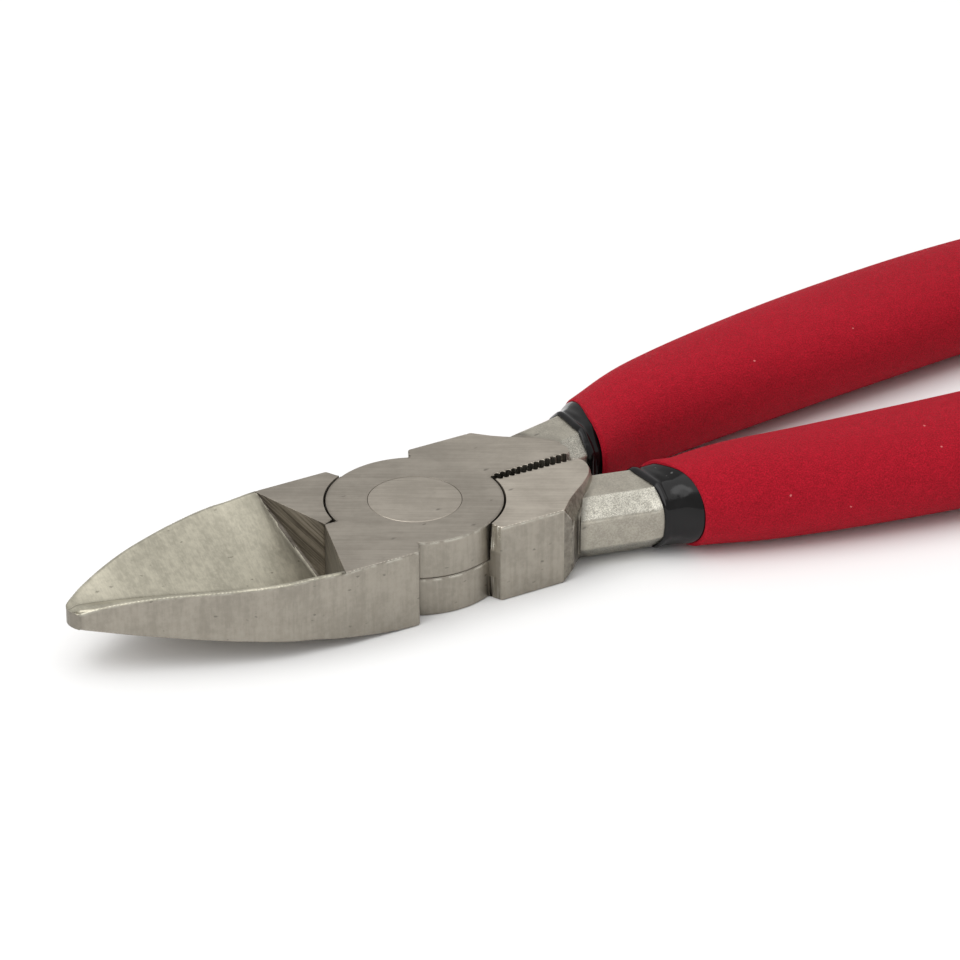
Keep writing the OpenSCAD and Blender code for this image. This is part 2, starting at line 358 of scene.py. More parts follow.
@dataclass(frozen=True)
class HeadPlan:
    """Sizes of the head that both halves share. Distances in front of the pivot are positive."""

    head_t: float
    jaw_len: float
    jaw_y: float
    lap_r: float = 12.0
    block_y: float = 12.75
    block_len: float = 25.3
    block_step: float = 64.3
    jaw_step: float = 63.0
    nose_r: float = 2.6
    nose_angle: float = 63.0
    chevron_x: float = 13.8
    chevron_lean: float = 3.9
    edge_root: float = 1.6
    edge_tip: float = 1.6
    edge_power: float = 1.2
    rise_angle: float = 9.2
    rise_r: float = 50.0
    ridge_drop: float = 2.1
    drop_run: float = 14.0
    ridge_land: float = 0.6
    lap_gap: float = 0.06
    pocket_gap: float = 0.3
    edge_gap: float = 0.04
    tooth_n: int = 13
    tooth_pitch: float = 0.9
    tooth_r: float = 0.4
    teeth_gap_front: float = 0.9
    teeth_gap_rear: float = 1.6
    rear_lean: float = 1.6
    rear_lean_least: float = 0.3
    notch_run: float = 1.35
    notch_w: float = 0.85

    @classmethod
    def from_frame(cls) -> "HeadPlan":
        """Reads the head's thickness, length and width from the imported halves."""
        low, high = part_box("lower_half")
        upper_low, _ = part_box("upper_half")
        return cls(head_t=high.z / MM, jaw_len=-low.x / MM, jaw_y=-upper_low.y / MM)

    @property
    def mid_z(self) -> float:
        """Height of the seam between the laps."""
        return self.head_t / 2

    @property
    def teeth_front(self) -> float:
        """Distance from the pivot to the front of the toothed faces."""
        return self.lap_r + self.pocket_gap + 0.1

    def jaw_side(self) -> Array:
        """The jaw's outer side from the chevron's end to the tip: a Bezier curve and an arc."""
        nose_x = self.jaw_len - self.nose_r
        a = math.radians(self.nose_angle)
        front = np.array([nose_x + self.nose_r * math.cos(a), self.nose_r * math.sin(a)])
        rear = np.array([self.chevron_x + self.chevron_lean + 5.8, self.jaw_y - 0.65])
        run = front[0] - rear[0]
        lean = np.array([math.sin(a), -math.cos(a)])
        side = bezier([rear, rear + [0.22 * run, -0.15], front - 0.35 * run * lean, front], 60)
        nose = arc([nose_x, 0], self.nose_r, self.nose_angle, 0, 14)
        corner = np.array([self.chevron_x + self.chevron_lean, self.jaw_y])
        dip = bezier([corner, corner + [1.8, -0.05], side[0] - [2.6, -0.1], side[0]], 10)
        return np.concatenate([dip[:-1], side[:-1], nose])

    def jaw_outline(self) -> Array:
        """The jaw in plan, from the pivot round its heel, side and nose, with the jaw at +Y."""
        side = self.jaw_side()
        side[:, 1] = np.maximum(side[:, 1], self.edge_gap / 2)
        heel = [self.jaw_y / math.tan(math.radians(self.jaw_step)), self.jaw_y]
        outline = np.concatenate([[[0, self.edge_gap / 2], heel], side]) * [-1, 1]
        return soften(outline, 0.3)

    def jaw_half(self, d: Array) -> Array:
        """Half width of the jaw at a distance in front of the pivot."""
        side = self.jaw_side()
        return np.interp(d, side[:, 0], side[:, 1])

    def rise_z(self, d: Array) -> Array:
        """Underside of the jaws: flat, then an arc of rise_r, then a straight climb."""
        start = self.lap_r / 2
        a = math.radians(self.rise_angle)
        bend = np.clip(d - start, 0, self.rise_r * math.sin(a))
        climb = np.maximum(d - start - self.rise_r * math.sin(a), 0) * math.tan(a)
        return self.rise_r - np.sqrt(self.rise_r**2 - bend**2) + climb

    def ridge_z(self, d: Array) -> Array:
        """Height of the ridges: the head's face, less a parabola over the last drop_run."""
        past = np.maximum(0, d - self.jaw_len + self.drop_run) / self.drop_run
        return self.head_t - self.ridge_drop * past**2

    def edge_z(self, u: Array) -> Array:
        """Height of the cutting edge, which closes on its tip height as (1 - u)^edge_power."""
        share = 1 - (1 - np.clip(u, 0, 1)) ** self.edge_power
        return mix(self.edge_root, self.head_t - self.edge_tip, share)

    def ridge_foot(self, u: Array) -> tuple[Array, Array]:
        """Distance and offset at which the bevel's ruling u meets the ridge's land."""
        d = mix(self.chevron_x + self.chevron_lean, self.jaw_len - self.nose_r / 2, u)
        return d, self.jaw_half(d) - self.ridge_land

    def bevel_point(self, u: Array, w: Array) -> Array:
        """Plan point at the share w of the way from the cutting edge to the ridge."""
        d, y = self.ridge_foot(u)
        start = mix(self.chevron_x, self.jaw_len, u)
        return np.stack([-mix(start, d, w), w * y], -1)

    def bevel_z(self, d: Array, y: Array) -> Array:
        """Height of the bevel, a surface ruled from the cutting edge to the ridge.

        The ruling through a point is found by repeating u = (d - start - lean w) over the
        run that is left, where w is the share of the way out along that ruling.

        Args:
            d: Distance in front of the pivot.
            y: Offset from the middle, towards the jaw's side.

        Returns:
            Height of the bevel.
        """
        edge_run = self.jaw_len - self.chevron_x
        loss = edge_run - (self.jaw_len - self.nose_r / 2 - self.chevron_x - self.chevron_lean)
        u = np.clip((d - self.chevron_x) / edge_run, 0, 1)
        for _ in range(14):
            _, ridge_y = self.ridge_foot(u)
            w = np.clip(y / ridge_y, 0, 1.3)
            u = np.clip((d - self.chevron_x - self.chevron_lean * w) / (edge_run - loss * w), 0, 1.05)
        return mix(self.edge_z(u), self.ridge_z(self.ridge_foot(u)[0]), w)

    def chevron_ahead(self, d: Array, y: Array) -> Array:
        """Distance of a point ahead of the chevron wall, in plan."""
        run = math.hypot(self.chevron_lean, self.jaw_y)
        return ((d - self.chevron_x) * self.jaw_y - y * self.chevron_lean) / run

    def block_rear(self) -> Array:
        """The block's rear boundary, from the teeth to its outer corner, with Y outward."""
        b = self.block_len
        inner = bezier([[b - 0.75, self.teeth_gap_rear / 2 + 0.05], [b + 0.25, 1.4],
                        [b + 0.35, 3.6], [b - 1.4, 5.6]], 14)
        outer = bezier([[b - 1.4, 5.6], [b - 3.0, 7.4], [b - 5.2, 8.7], [b - 7.3, 10.5]], 10)
        return np.concatenate([inner, outer[1:], [[b - 9.5, self.block_y]]])

    def block_rear_low(self) -> Array:
        """The rear boundary at mid-height, which stands further back towards the side."""
        rear = self.block_rear()
        lean = mix(self.rear_lean_least, self.rear_lean, smooth_step(rear[:, 1], 5.5, 11.5))
        lean = lean * smooth_step(rear[:, 1], 0.6, 2.6)
        return rear + np.stack([lean, np.zeros_like(lean)], 1)

    def notch(self) -> Array:
        """Small three-cornered relief where the joint's seam meets the jaws' closed line."""
        rim = self.lap_r + self.pocket_gap
        return np.array([[-rim + 0.3, -0.2], [-rim + 0.3, self.notch_w], [-rim - self.notch_run, 0.12],
                         [-rim - self.notch_run, -0.2]])

    def teeth_y(self, x: Array) -> Array:
        """Offset of a toothed face, which opens slightly towards the rear."""
        share = (x - self.teeth_front) / (self.block_len - self.teeth_front)
        return mix(self.teeth_gap_front, self.teeth_gap_rear, share) / 2

    def block_outline(self) -> Array:
        """The block in plan with Y outward: a face with round grooves, then the rear and side."""
        x = self.teeth_front + 0.7 + np.arange(self.tooth_n) * self.tooth_pitch
        a = np.radians(np.linspace(180, 0, 9))
        grooves = np.stack([x[:, None] + self.tooth_r * np.cos(a),
                            self.teeth_y(x)[:, None] + self.tooth_r * np.sin(a)], -1).reshape(-1, 2)
        front = [[0, self.teeth_gap_front / 2], [self.teeth_front, self.teeth_gap_front / 2]]
        corner = [[self.block_y / math.tan(math.radians(self.block_step)), self.block_y]]
        smooth = soften(np.concatenate([self.block_rear_low(), corner, front]), 0.3)
        return np.concatenate([grooves, smooth])

    def block_top_outline(self) -> Array:
        """The block's face in plan, without the slope behind its rear boundary."""
        corner = [self.block_y / math.tan(math.radians(self.block_step)), self.block_y]
        return np.concatenate([self.block_rear(), [corner, [0, -1.0], [self.block_len - 0.75, -1.0]]])


@dataclass(frozen=True)
class HandlePlan:
    """Sizes of a handle's centre line, shank and tang, with Y outward."""

    head_t: float
    reach: float
    grip_t: float
    bow: float = 21.0
    shank_w: float = 10.4
    shank_t: float = 9.2
    chamfer: float = 2.4
    shank_lift: float = 0.7
    tang_w: float = 7.0
    tang_t: float = 6.0
    sleeve_w: float = 12.1
    grip_w: float = 20.4
    lead_x: float = 17.0
    lead_run: float = 3.5
    lead_share: float = 0.62
    lift_x: float = 30.5
    lift_run: float = 14.0
    skin_gap: float = 0.08
    end_lean: float = 0.33
    tang_short: float = 8.0
    tang_chamfer: float = 1.5

    @classmethod
    def from_frame(cls) -> "HandlePlan":
        """Reads the handle's reach and the grip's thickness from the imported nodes.

        The rounded end leans inward with the line, so it passes the line's end by end_lean.
        """
        grip_low, grip_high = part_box("lower_grip")
        return cls(head_t=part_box("lower_half")[1].z / MM, reach=grip_high.x / MM - cls.end_lean,
                   grip_t=(grip_high.z - grip_low.z) / MM)

    @property
    def tang_end(self) -> float:
        """Where the steel ends, inside the grip."""
        return self.reach - self.tang_short

    def spine(self) -> Array:
        """Points of the centre line in plan, on a curve through the neck and the bow."""
        neck = np.array([37.0, 10.9])
        shares = np.array([[0.083, 0.267], [0.211, 0.525], [0.394, 0.792], [0.624, 0.99],
                           [0.835, 0.891], [1, 0.525], [1.1, 0.25], [1.2, 0]])
        far = neck + shares * [self.reach - neck[0], self.bow - neck[1]]
        return through_points(np.concatenate([[[12, 4.2], [20, 6], [30, 8.3], neck], far]), 8)

    def spine_y(self, x: Array) -> Array:
        """Offset of the centre line at x."""
        line = self.spine()
        return np.interp(x, line[:, 0], line[:, 1])

    def turn(self, x: Array) -> Array:
        """Angle of the centre line in plan at x, in radians."""
        return np.arctan(self.spine_y(x + 0.5) - self.spine_y(x - 0.5))

    def spine_z(self, x: Array, low: bool) -> Array:
        """Height of the centre line, which climbs from the shank to the middle of the grip."""
        shank = self.shank_lift + self.shank_t / 2 if low else self.head_t - self.shank_t / 2
        share = np.sin(np.pi / 2 * np.clip((x - self.lift_x) / self.lift_run, 0, 1))
        return mix(shank, self.grip_t / 2, share)

    def taper(self, x: Array) -> Array:
        """Share of the way from the shank's section to the tang's end."""
        return np.clip((x - self.lift_x - 4) / (self.tang_end - self.lift_x), 0, 1)

    def half_w(self, x: Array) -> Array:
        """Half width of the shank and tang at x."""
        lead = mix(self.lead_share, 1, np.clip((x - self.lead_x) / self.lead_run, 0, 1))
        return lead * mix(self.shank_w, self.tang_w, self.taper(x)) / 2

    def half_t(self, x: Array) -> Array:
        """Half thickness of the shank and tang at x."""
        return mix(self.shank_t, self.tang_t, self.taper(x)) / 2

    def edge_cut(self, x: Array) -> Array:
        """Chamfer along the edges of the shank and tang at x."""
        return mix(self.chamfer, self.tang_chamfer, self.taper(x))

    def place(self, x: Array, across: Array) -> Array:
        """Plan point at a distance across the centre line from its point at x."""
        a = self.turn(x)
        return np.stack([x - across * np.sin(a), self.spine_y(x) + across * np.cos(a)], -1)

    def across(self, points: Array) -> tuple[Array, Array]:
        """Station along the centre line, and distance across it, of each plan point.

        The station is found by stepping back x by the offset times the line's slope.

        Args:
            points: Points in plan.

        Returns:
            Station and distance across, outward positive.
        """
        x = points[:, 0].copy()
        for _ in range(4):
            a = self.turn(x)
            offset = (points[:, 1] - self.spine_y(x)) * np.cos(a) + (x - points[:, 0]) * np.sin(a)
            x = points[:, 0] + offset * np.sin(a)
        return x, offset


# ---------------------------------------------------------------------------------------
# Pieces
# ---------------------------------------------------------------------------------------


@dataclass
class ForgedHalf:
    """One forging: its jaw, lap disc, toothed block, shank and tang."""

    head: HeadPlan
    handle: HandlePlan
    low: bool
    rivet_r: float
    rivet_head_r: float
    rivet_head_t: float
    run_gap: float
    round_outer: float = 0.2
    round_seam: float = 0.07
    cove: float = 0.9
    foot: float = 0.02
    rear_slope: float = 1.95
    nose_round: float = 0.45
    rim_width: float = 0.11

    @property
    def name(self) -> str:
        """The CAD node that this half stands for."""
        return "lower_half" if self.low else "upper_half"

    @property
    def side(self) -> float:
        """Which way the jaw lies: +1 for +Y."""
        return 1.0 if self.low else -1.0

    def outlines(self) -> list[Array]:
        """Closed plan outlines whose sum is the half: jaw, lap disc, block, and shank with tang."""
        head, handle = self.head, self.handle
        disc = arc([0, 0], head.lap_r, 0, 360, 241)[:-1]
        block = head.block_outline() * [1, -1]
        x = np.concatenate([np.linspace(handle.lead_x, handle.lead_x + handle.lead_run, 5),
                            np.linspace(handle.lead_x + handle.lead_run, handle.tang_end, 46)[1:]])
        outer, inner = handle.place(x, handle.half_w(x)), handle.place(x, -handle.half_w(x))
        tang = np.concatenate([outer, inner[::-1]]) * [1, -1]
        return [head.jaw_outline(), disc, block, tang]

    def keep(self, points: Array) -> Array:
        """Which plan points lie on the half: in any outline, and outside the rivet's bore."""
        within = np.zeros(len(points), bool)
        for outline in self.outlines():
            within |= inside(points, outline)
        if self.low:
            within &= ~inside(points, self.head.notch())
        return within & (np.hypot(*points.T) > self.bore_r)

    @property
    def fit(self) -> float:
        """Radial clearance round the rivet: none where it is pressed in."""
        return 0.0 if self.low else self.run_gap

    @property
    def bore_r(self) -> float:
        """Radius of the bore for the rivet's body."""
        return self.rivet_r + self.fit

    def layout(self) -> Layout:
        """Lines where the surface creases, and points where it curves."""
        head, handle = self.head, self.handle
        loops = self.outlines() + [arc([0, 0], self.bore_r, 0, 360, 97)[:-1], head.notch()]
        rim, recess = head.lap_r + head.pocket_gap, self.rivet_head_r + self.fit
        for r in (rim, rim - self.foot, rim + 0.03, rim + self.round_seam, rim + 0.12):
            loops.append(arc([0, 0], r, 0, 360, 241)[:-1])
        for r in (recess, recess - self.foot, recess + 0.02, recess + 0.04, recess + 0.07):
            loops.append(arc([0, 0], r, 0, 360, 145)[:-1])
        lines = [refine(np.concatenate([loop, loop[:1]]), 0.6) for loop in loops]
        along = np.array([head.chevron_lean, head.jaw_y]) / math.hypot(head.chevron_lean, head.jaw_y)
        ahead = np.array([along[1], -along[0]])
        wall = np.linspace(0, 13.6, 35)[:, None] * along + [head.chevron_x, 0]
        lines += [(wall + ahead * s) * [-1, 1]
                  for s in (-0.12, -0.06, -0.03, 0, self.foot, 0.06, 0.13, 0.25, 0.42, 0.65, 0.9, 1.2)]
        u = np.linspace(0, 1, 61)
        lines += [head.bevel_point(u, w * np.ones_like(u)) for w in (0.975, 0.99, 1.0, 1.01, 1.025)]
        for rear, rows in ((head.block_rear(), (0, 0.05, 0.2, 0.4, 0.6, 0.8)),
                           (head.block_rear_low(), (self.foot, 0.08, 0.2, 0.35, 0.55, 0.8, 1.0))):
            step = np.gradient(rear, axis=0)
            out = np.stack([step[:, 1], -step[:, 0]], 1) / np.linalg.norm(step, axis=1)[:, None]
            lines += [(rear + out * s) * [1, -1] for s in rows]
        x = np.linspace(handle.lead_x, handle.tang_end, 60)
        crease = handle.half_w(x) - handle.edge_cut(x)
        for sign in (1, -1):
            for slip in (-0.35, -0.15, 0, 0.15, 0.35):
                lines.append(handle.place(x, sign * (crease + slip)) * [1, -1])
        uu, ww = np.meshgrid(np.linspace(0, 0.995, 64), np.linspace(0.02, 0.95, 14), indexing="ij")
        dots = [head.bevel_point(uu.ravel(), ww.ravel())]
        return Layout(lines, dots, self.keep)

    def tops(self, p: Array, edge: Array, seam: Array) -> Array:
        """Height of the upper surface at each plan point.

        Args:
            p: Plan points, with the jaw at +Y.
            edge: Distance to the nearest outer border.
            seam: Distance to the nearest border along a seam.

        Returns:
            Heights.
        """
        head = self.head
        r = np.hypot(*p.T)
        z = np.where(p[:, 1] > 0, self.jaw_top(p), self.block_top(p))
        rim = head.lap_r + head.pocket_gap
        if self.low:
            z = z - quarter_round(np.maximum(r - rim, 0), self.round_seam) * (r > rim - self.foot / 2)
            z = np.where(r < rim - self.foot / 2, head.mid_z - head.lap_gap / 2, z)
        else:
            recess = self.rivet_head_r + self.fit
            z = np.where(r < head.lap_r + self.foot / 2, head.head_t, z)
            z = z - quarter_round(np.maximum(r - recess, 0), 0.04) * (r < recess + 1)
            z = np.where(r < recess - self.foot / 2, head.head_t - self.rivet_head_t - self.run_gap, z)
        return z - np.maximum(quarter_round(edge, self.round_outer), quarter_round(seam, self.round_seam))

    def jaw_top(self, p: Array) -> Array:
        """The jaw's face: flat behind the chevron, then a filleted wall, the bevel and the ridge.

        Args:
            p: Plan points, with the jaw at +Y.

        Returns:
            Heights.
        """
        head = self.head
        d, y = -p[:, 0], np.maximum(p[:, 1], 0)
        ahead = head.chevron_ahead(d, y)
        floor = head.bevel_z(d, y)
        fillet = np.clip(0.2 * (head.head_t - floor), 0.02, 0.7)
        bevel = floor + quarter_round(np.maximum(ahead, 0), fillet)
        lower = smooth_min(bevel, head.ridge_z(d), 0.1)
        behind = head.head_t - quarter_round(np.maximum(-ahead, 0), 0.06)
        return np.where(ahead > self.foot / 2, lower, behind)

    def shank_section(self, p: Array) -> tuple[Array, Array, Array]:
        """Centre height, half thickness less the chamfer's share, and distance across, in plan."""
        handle = self.handle
        x, q = handle.across(p * [1, -1])
        cut = np.maximum(np.abs(q) - (handle.half_w(x) - handle.edge_cut(x)), 0)
        return handle.spine_z(x, self.low), handle.half_t(x) - np.minimum(cut, handle.edge_cut(x)), q

    def behind_block(self, p: Array) -> tuple[Array, Array]:
        """Distances behind the rear boundary of the block's face, and behind its foot."""
        both = []
        for rear, outline in ((self.head.block_rear(), self.head.block_top_outline()),
                              (self.head.block_rear_low(), self.head.block_outline())):
            rear = rear * [1, -1]
            away = distance_to(p, rear[:-1], rear[1:])
            both.append(np.where(inside(p, outline * [1, -1]), 0, away))
        return both[0], both[1]

    def rear_step(self, p: Array, shank: Array, face: Array, slope: float) -> Array:
        """Height of the step from the block's face down to the shank.

        The block falls at a steady slope behind its face. It is joined to the shank by the
        higher of the two with a small fillet, and past its foot by a quarter-round cove.

        Args:
            p: Plan points.
            shank: Height of the shank there.
            face: Height of the block's face.
            slope: Fall for each millimetre behind the face's boundary.

        Returns:
            Heights, where higher is further from the middle of the tool.
        """
        away, past_foot = self.behind_block(p)
        block = face - slope * away
        radius = np.clip(block - shank, 1e-6, self.cove)
        on_shank = shank + quarter_round(past_foot, radius)
        stepped = np.where(past_foot > self.foot / 2, on_shank, -smooth_min(-block, -shank, 0.3))
        return np.where(away > self.foot / 2, np.minimum(stepped, face), face)

    def block_top(self, p: Array) -> Array:
        """The block's face, the step down to the shank, and the shank's chamfered top."""
        z, half, _ = self.shank_section(p)
        return self.rear_step(p, z + half, np.full(len(p), self.head.head_t), self.rear_slope)

    def undersides(self, p: Array, edge: Array, seam: Array) -> Array:
        """Height of the lower surface at each plan point.

        Args:
            p: Plan points, with the jaw at +Y.
            edge: Distance to the nearest outer border.
            seam: Distance to the nearest border along a seam.

        Returns:
            Heights.
        """
        head = self.head
        r = np.hypot(*p.T)
        z, half, _ = self.shank_section(p)
        shank = -self.rear_step(p, half - z, np.zeros(len(p)), self.rear_slope * 0.8)
        low = np.where(p[:, 1] > 0, head.rise_z(-p[:, 0]), shank)
        rim = head.lap_r + head.pocket_gap
        if self.low:
            recess = self.rivet_head_r + self.fit
            low = np.where(r < head.lap_r + self.foot / 2, 0.0, low)
            low = low + quarter_round(np.maximum(r - recess, 0), 0.04) * (r < recess + 1)
            low = np.where(r < recess - self.foot / 2, self.rivet_head_t, low)
        else:
            low = low + quarter_round(np.maximum(r - rim, 0), self.round_seam) * (r > rim - self.foot / 2)
            low = np.where(r < rim - self.foot / 2, head.mid_z + head.lap_gap / 2, low)
        at_nose = smooth_step(-p[:, 0], head.jaw_len - 9, head.jaw_len - 1)
        outer = mix(self.round_outer, self.nose_round, at_nose)
        return low + np.maximum(quarter_round(edge, outer), quarter_round(seam, self.round_seam))

    def grime_and_shade(self, p: Array, seam: Array) -> Array:
        """How dark each plan point is made: darker along the seams, and painted shade in the valley behind
        the block.

        Args:
            p: Plan points, with the jaw at +Y.
            seam: Distance to the nearest border along a seam.

        Returns:
            Values of the mask, where 1 is darkest.
        """
        away, past_foot = self.behind_block(p)
        # Painted shade in the valley behind the block, deeper towards the outer side; the seams get a dark
        # line as well.
        behind = (away > self.foot) * (p[:, 0] > 12) * (p[:, 1] < 0)
        valley = np.exp(-(((past_foot - 0.25) / 0.6) ** 2)) * behind
        valley = valley * mix(0.2, 0.75, smooth_step(-p[:, 1], 6.5, 9.5))
        return np.maximum(valley, 0.4 * np.exp(-((seam / 0.25) ** 2)))

    def bevel_root_shade(self, p: Array) -> Array:
        """Painted shade on the bevel where it meets the chevron's wall, darkest just ahead of the wall."""
        ahead = self.head.chevron_ahead(-p[:, 0], p[:, 1])
        return 0.6 * np.exp(-(((ahead - 0.1) / 0.9) ** 2)) * (ahead > self.foot / 2) * (p[:, 1] > 0)

    def fresh_and_sheen(self, p: Array) -> Array:
        """Share by which each point of the upper surface is made brighter than the disc: partly a brighter
        finish, and partly a painted sheen for the stronger reflection on the block and shank behind the
        disc, strongest on the lower half.
        """
        behind = (p[:, 1] < 0) * (p[:, 0] > 0)
        if self.low:
            outside = np.hypot(*p.T) > self.head.lap_r + 0.1
            return behind * outside * mix(1.0, 0.7, smooth_step(p[:, 0], 23, 26))
        return behind * 0.55 * smooth_step(p[:, 0], 7, 17)

    def crease(self, p: Array) -> Array:
        """Painted highlight along the shank's upper creases, added to the rim mask."""
        x, q = self.handle.across(p * [1, -1])
        line = np.abs(np.abs(q) - (self.handle.half_w(x) - self.handle.edge_cut(x)))
        shown = (self.behind_block(p)[1] > 0.5) & (p[:, 0] > 20) & (p[:, 1] < 0)
        return np.where(shown, np.exp(-((line / 0.22) ** 2)), 0)

    def zones(self, middle: Array, normal: Array) -> Array:
        """Finish of each face, by where it lies and which way it points.

        Args:
            middle: Middle of each face, with the jaw at +Y.
            normal: Direction of each face.

        Returns:
            The value of each face's Zone.
        """
        head, handle = self.head, self.handle
        d, y = -middle[:, 0], middle[:, 1]
        ahead = head.chevron_ahead(d, y)
        x, q = handle.across(middle[:, :2] * [1, -1])
        steep = np.abs(normal[:, 2]) < 0.35
        on_jaw = (y > 0) & (d > head.chevron_x - 1)
        zone = np.where(steep, Zone.SIDE.value, Zone.FACE.value)
        on_bevel = on_jaw & (ahead > 0.01) & (normal[:, 2] > 0.1)
        zone = np.where(on_bevel, Zone.BEVEL.value, zone)
        wall = on_jaw & (ahead > -0.02) & (ahead < 0.8) & (normal[:, 0] < -0.3) & (normal[:, 2] > -0.2)
        zone = np.where(wall, Zone.WALL.value, zone)
        on_shank = (y < 0) & (middle[:, 0] > 15) & (self.behind_block(middle[:, :2])[1] > 0.12)
        zone = np.where(on_shank, Zone.SHANK.value, zone)
        sloped = np.abs(np.abs(normal[:, 2]) - 0.7) < 0.2
        chamfer = on_shank & sloped & (np.abs(q) > handle.half_w(x) - handle.chamfer)
        return np.where(chamfer, Zone.BLASTED.value, zone)

    def seams(self, middle: Array) -> Array:
        """Which border edges, by their middles, lie along a seam and are rounded less."""
        r = np.hypot(*middle.T)
        between = (np.abs(middle[:, 1]) < 2.0) & (middle[:, 0] < 24.5)
        exposed = (np.abs(r - self.head.lap_r) < 0.1) & (np.abs(middle[:, 0]) < 5.4)
        return ((r < self.head.lap_r + 0.5) | between) & ~exposed

    def masks(self, flat: Array, edge: Array, seam: Array, loop: Array) -> dict[str, Array]:
        """Values of the masks on the top, on the underside and down the wall.

        The rim mask, rubbed edges with a painted highlight, is exp(-(edge / width)^2) for the rim's width;
        it also holds the painted highlight along the shank's creases. The grime mask also holds painted
        shade, and the fresh mask a painted sheen. A row of the wall has the value of its border point
        times the row's share.

        Args:
            flat: Plan points.
            edge: Distance of each to the nearest outer border.
            seam: Distance of each to the nearest border along a seam.
            loop: Numbers of the plan points on the border.

        Returns:
            A value for each vertex, by the mask's name.
        """
        # Rim: rubbed edges with a painted highlight, weaker towards the jaw's tip; the underside gets only a
        # faint share.
        rim = np.exp(-((edge / self.rim_width) ** 2)) * mix(1.0, 0.55, smooth_step(-flat[:, 0], 17, 21))
        shade_and_dirt, fresh_and_sheen = self.grime_and_shade(flat, seam), self.fresh_and_sheen(flat)
        parts = {"rim": (np.maximum(rim, self.crease(flat)), rim * 0.15, rim, HIGHLIGHT_AND_WEAR_FADE),
                 "grime_and_shade": (np.maximum(shade_and_dirt, self.bevel_root_shade(flat)), shade_and_dirt, shade_and_dirt, SHADE_AND_GRIME_FADE),
                 "fresh_and_sheen": (fresh_and_sheen, fresh_and_sheen * 0, fresh_and_sheen, HIGHLIGHT_AND_WEAR_FADE)}
        return {name: np.concatenate([top, low] + [np.minimum(value[loop] * share, 1) for share in fade])
                for name, (top, low, value, fade) in parts.items()}

    @staticmethod
    def wall(flat: Array, top: Array, low: Array, border: Array) -> tuple[Array, Array, Array]:
        """Rows of points and faces that join the top sheet to the underside.

        Each row lies below the top by a set fall or by its share of the full height, the
        lesser of the two, and the lower rows mirror the upper ones.

        Args:
            flat: Plan points.
            top: Height of the top at each.
            low: Height of the underside at each.
            border: Pairs of plan points, one pair for each border edge.

        Returns:
            Numbers of the border's plan points, the rows' points and the faces.
        """
        count = len(flat)
        loop, at = np.unique(border, return_inverse=True)
        at = at.reshape(border.shape)
        high, deep = top[loop], top[loop] - low[loop]
        falls = [np.minimum(step, deep * share) for step, share in WALL_STEPS]
        falls += [deep - fall for fall in falls[::-1]]
        rows = np.concatenate([np.column_stack([flat[loop], high - fall]) for fall in falls])
        levels = [at + 2 * count + n * len(loop) for n in range(len(falls))]
        levels = [border] + levels + [border + count]
        faces = np.concatenate([np.column_stack([b[:, 0], b[:, 1], a[:, 1], a[:, 0]])
                                for a, b in zip(levels[:-1], levels[1:])])
        return loop, rows, faces

    def build(self) -> Piece:
        """Makes the half as one closed mesh and gives each face its finish's slot.

        The plan sheet is laid at the heights of the top and of the underside, and a wall of
        rows joins the two along the border.
        """
        layout = self.layout()
        flat, tris = layout.sheet()
        border = layout.border(tris)
        inset = inset_rows(flat[border[:, 0]], flat[border[:, 1]], INSETS, 0.5)
        flat, tris = layout.sheet(inset)
        border = layout.border(tris)
        a, b = flat[border[:, 0]], flat[border[:, 1]]
        seams = self.seams((a + b) / 2)
        edge = distance_to(flat, a[~seams], b[~seams])
        seam = distance_to(flat, a[seams], b[seams])
        top = self.tops(flat, edge, seam)
        low = np.minimum(self.undersides(flat, edge, seam), top - 0.02)
        loop, rows, walls = self.wall(flat, top, low, border)
        points = np.concatenate([np.column_stack([flat, top]), np.column_stack([flat, low]), rows])
        faces = tris.tolist() + (tris[:, ::-1] + len(flat)).tolist() + walls.tolist()
        if self.side < 0:
            points = points * [1, -1, 1]
            faces = [face[::-1] for face in faces]
        piece = add_mesh(self.name + "_steel", points, faces)
        mesh = piece.data
        middle, normal = np.zeros(len(mesh.polygons) * 3), np.zeros(len(mesh.polygons) * 3)
        mesh.polygons.foreach_get("center", middle)
        mesh.polygons.foreach_get("normal", normal)
        middle, normal = middle.reshape(-1, 3) / MM, normal.reshape(-1, 3)
        own = [1, self.side, 1]
        slots = self.zones(middle * own, normal * own)
        mesh.polygons.foreach_set("material_index", slots.astype(np.int32))
        for name, values in self.masks(flat, edge, seam, loop).items():
            add_mask(piece, name, values)
        return piece


@dataclass
class Rivet:
    """The pivot rivet: a body with a flush head at each end, turned as one profile."""

    body_r: float
    head_r: float
    head_t: float
    high: float
    sides: int = 144
    fresh_and_sheen: float = 0.45

    def build(self) -> Piece:
        """Carries the half profile round the pivot's axis; each edge is cut back a little.

        The fresh mask, elsewhere partly a painted sheen, is the same all over, so the head is a little
        brighter than the disc.
        """
        cut, inset = 0.05, 0.004
        half = np.array([[0.05, inset], [2.0, inset], [4.0, inset], [self.head_r - 0.3, inset],
                         [self.head_r - cut, inset], [self.head_r - 0.015, inset + 0.02],
                         [self.head_r, inset + cut], [self.head_r, self.head_t],
                         [self.body_r, self.head_t]])
        profile = np.concatenate([half, (half * [1, -1] + [0, self.high])[::-1]])
        a = np.linspace(0, 2 * np.pi, self.sides, endpoint=False)
        ring = np.stack([np.cos(a), np.sin(a), np.zeros_like(a)], 1)
        points = ring[None] * profile[:, None, :1] + profile[:, None, 1:] * [0, 0, 1]
        faces = tube_faces(len(profile), self.sides)
        piece = add_mesh("pivot_rivet_steel", points.reshape(-1, 3), faces)
        add_mask(piece, "fresh_and_sheen", np.full(len(points) * self.sides, self.fresh_and_sheen))
        return piece


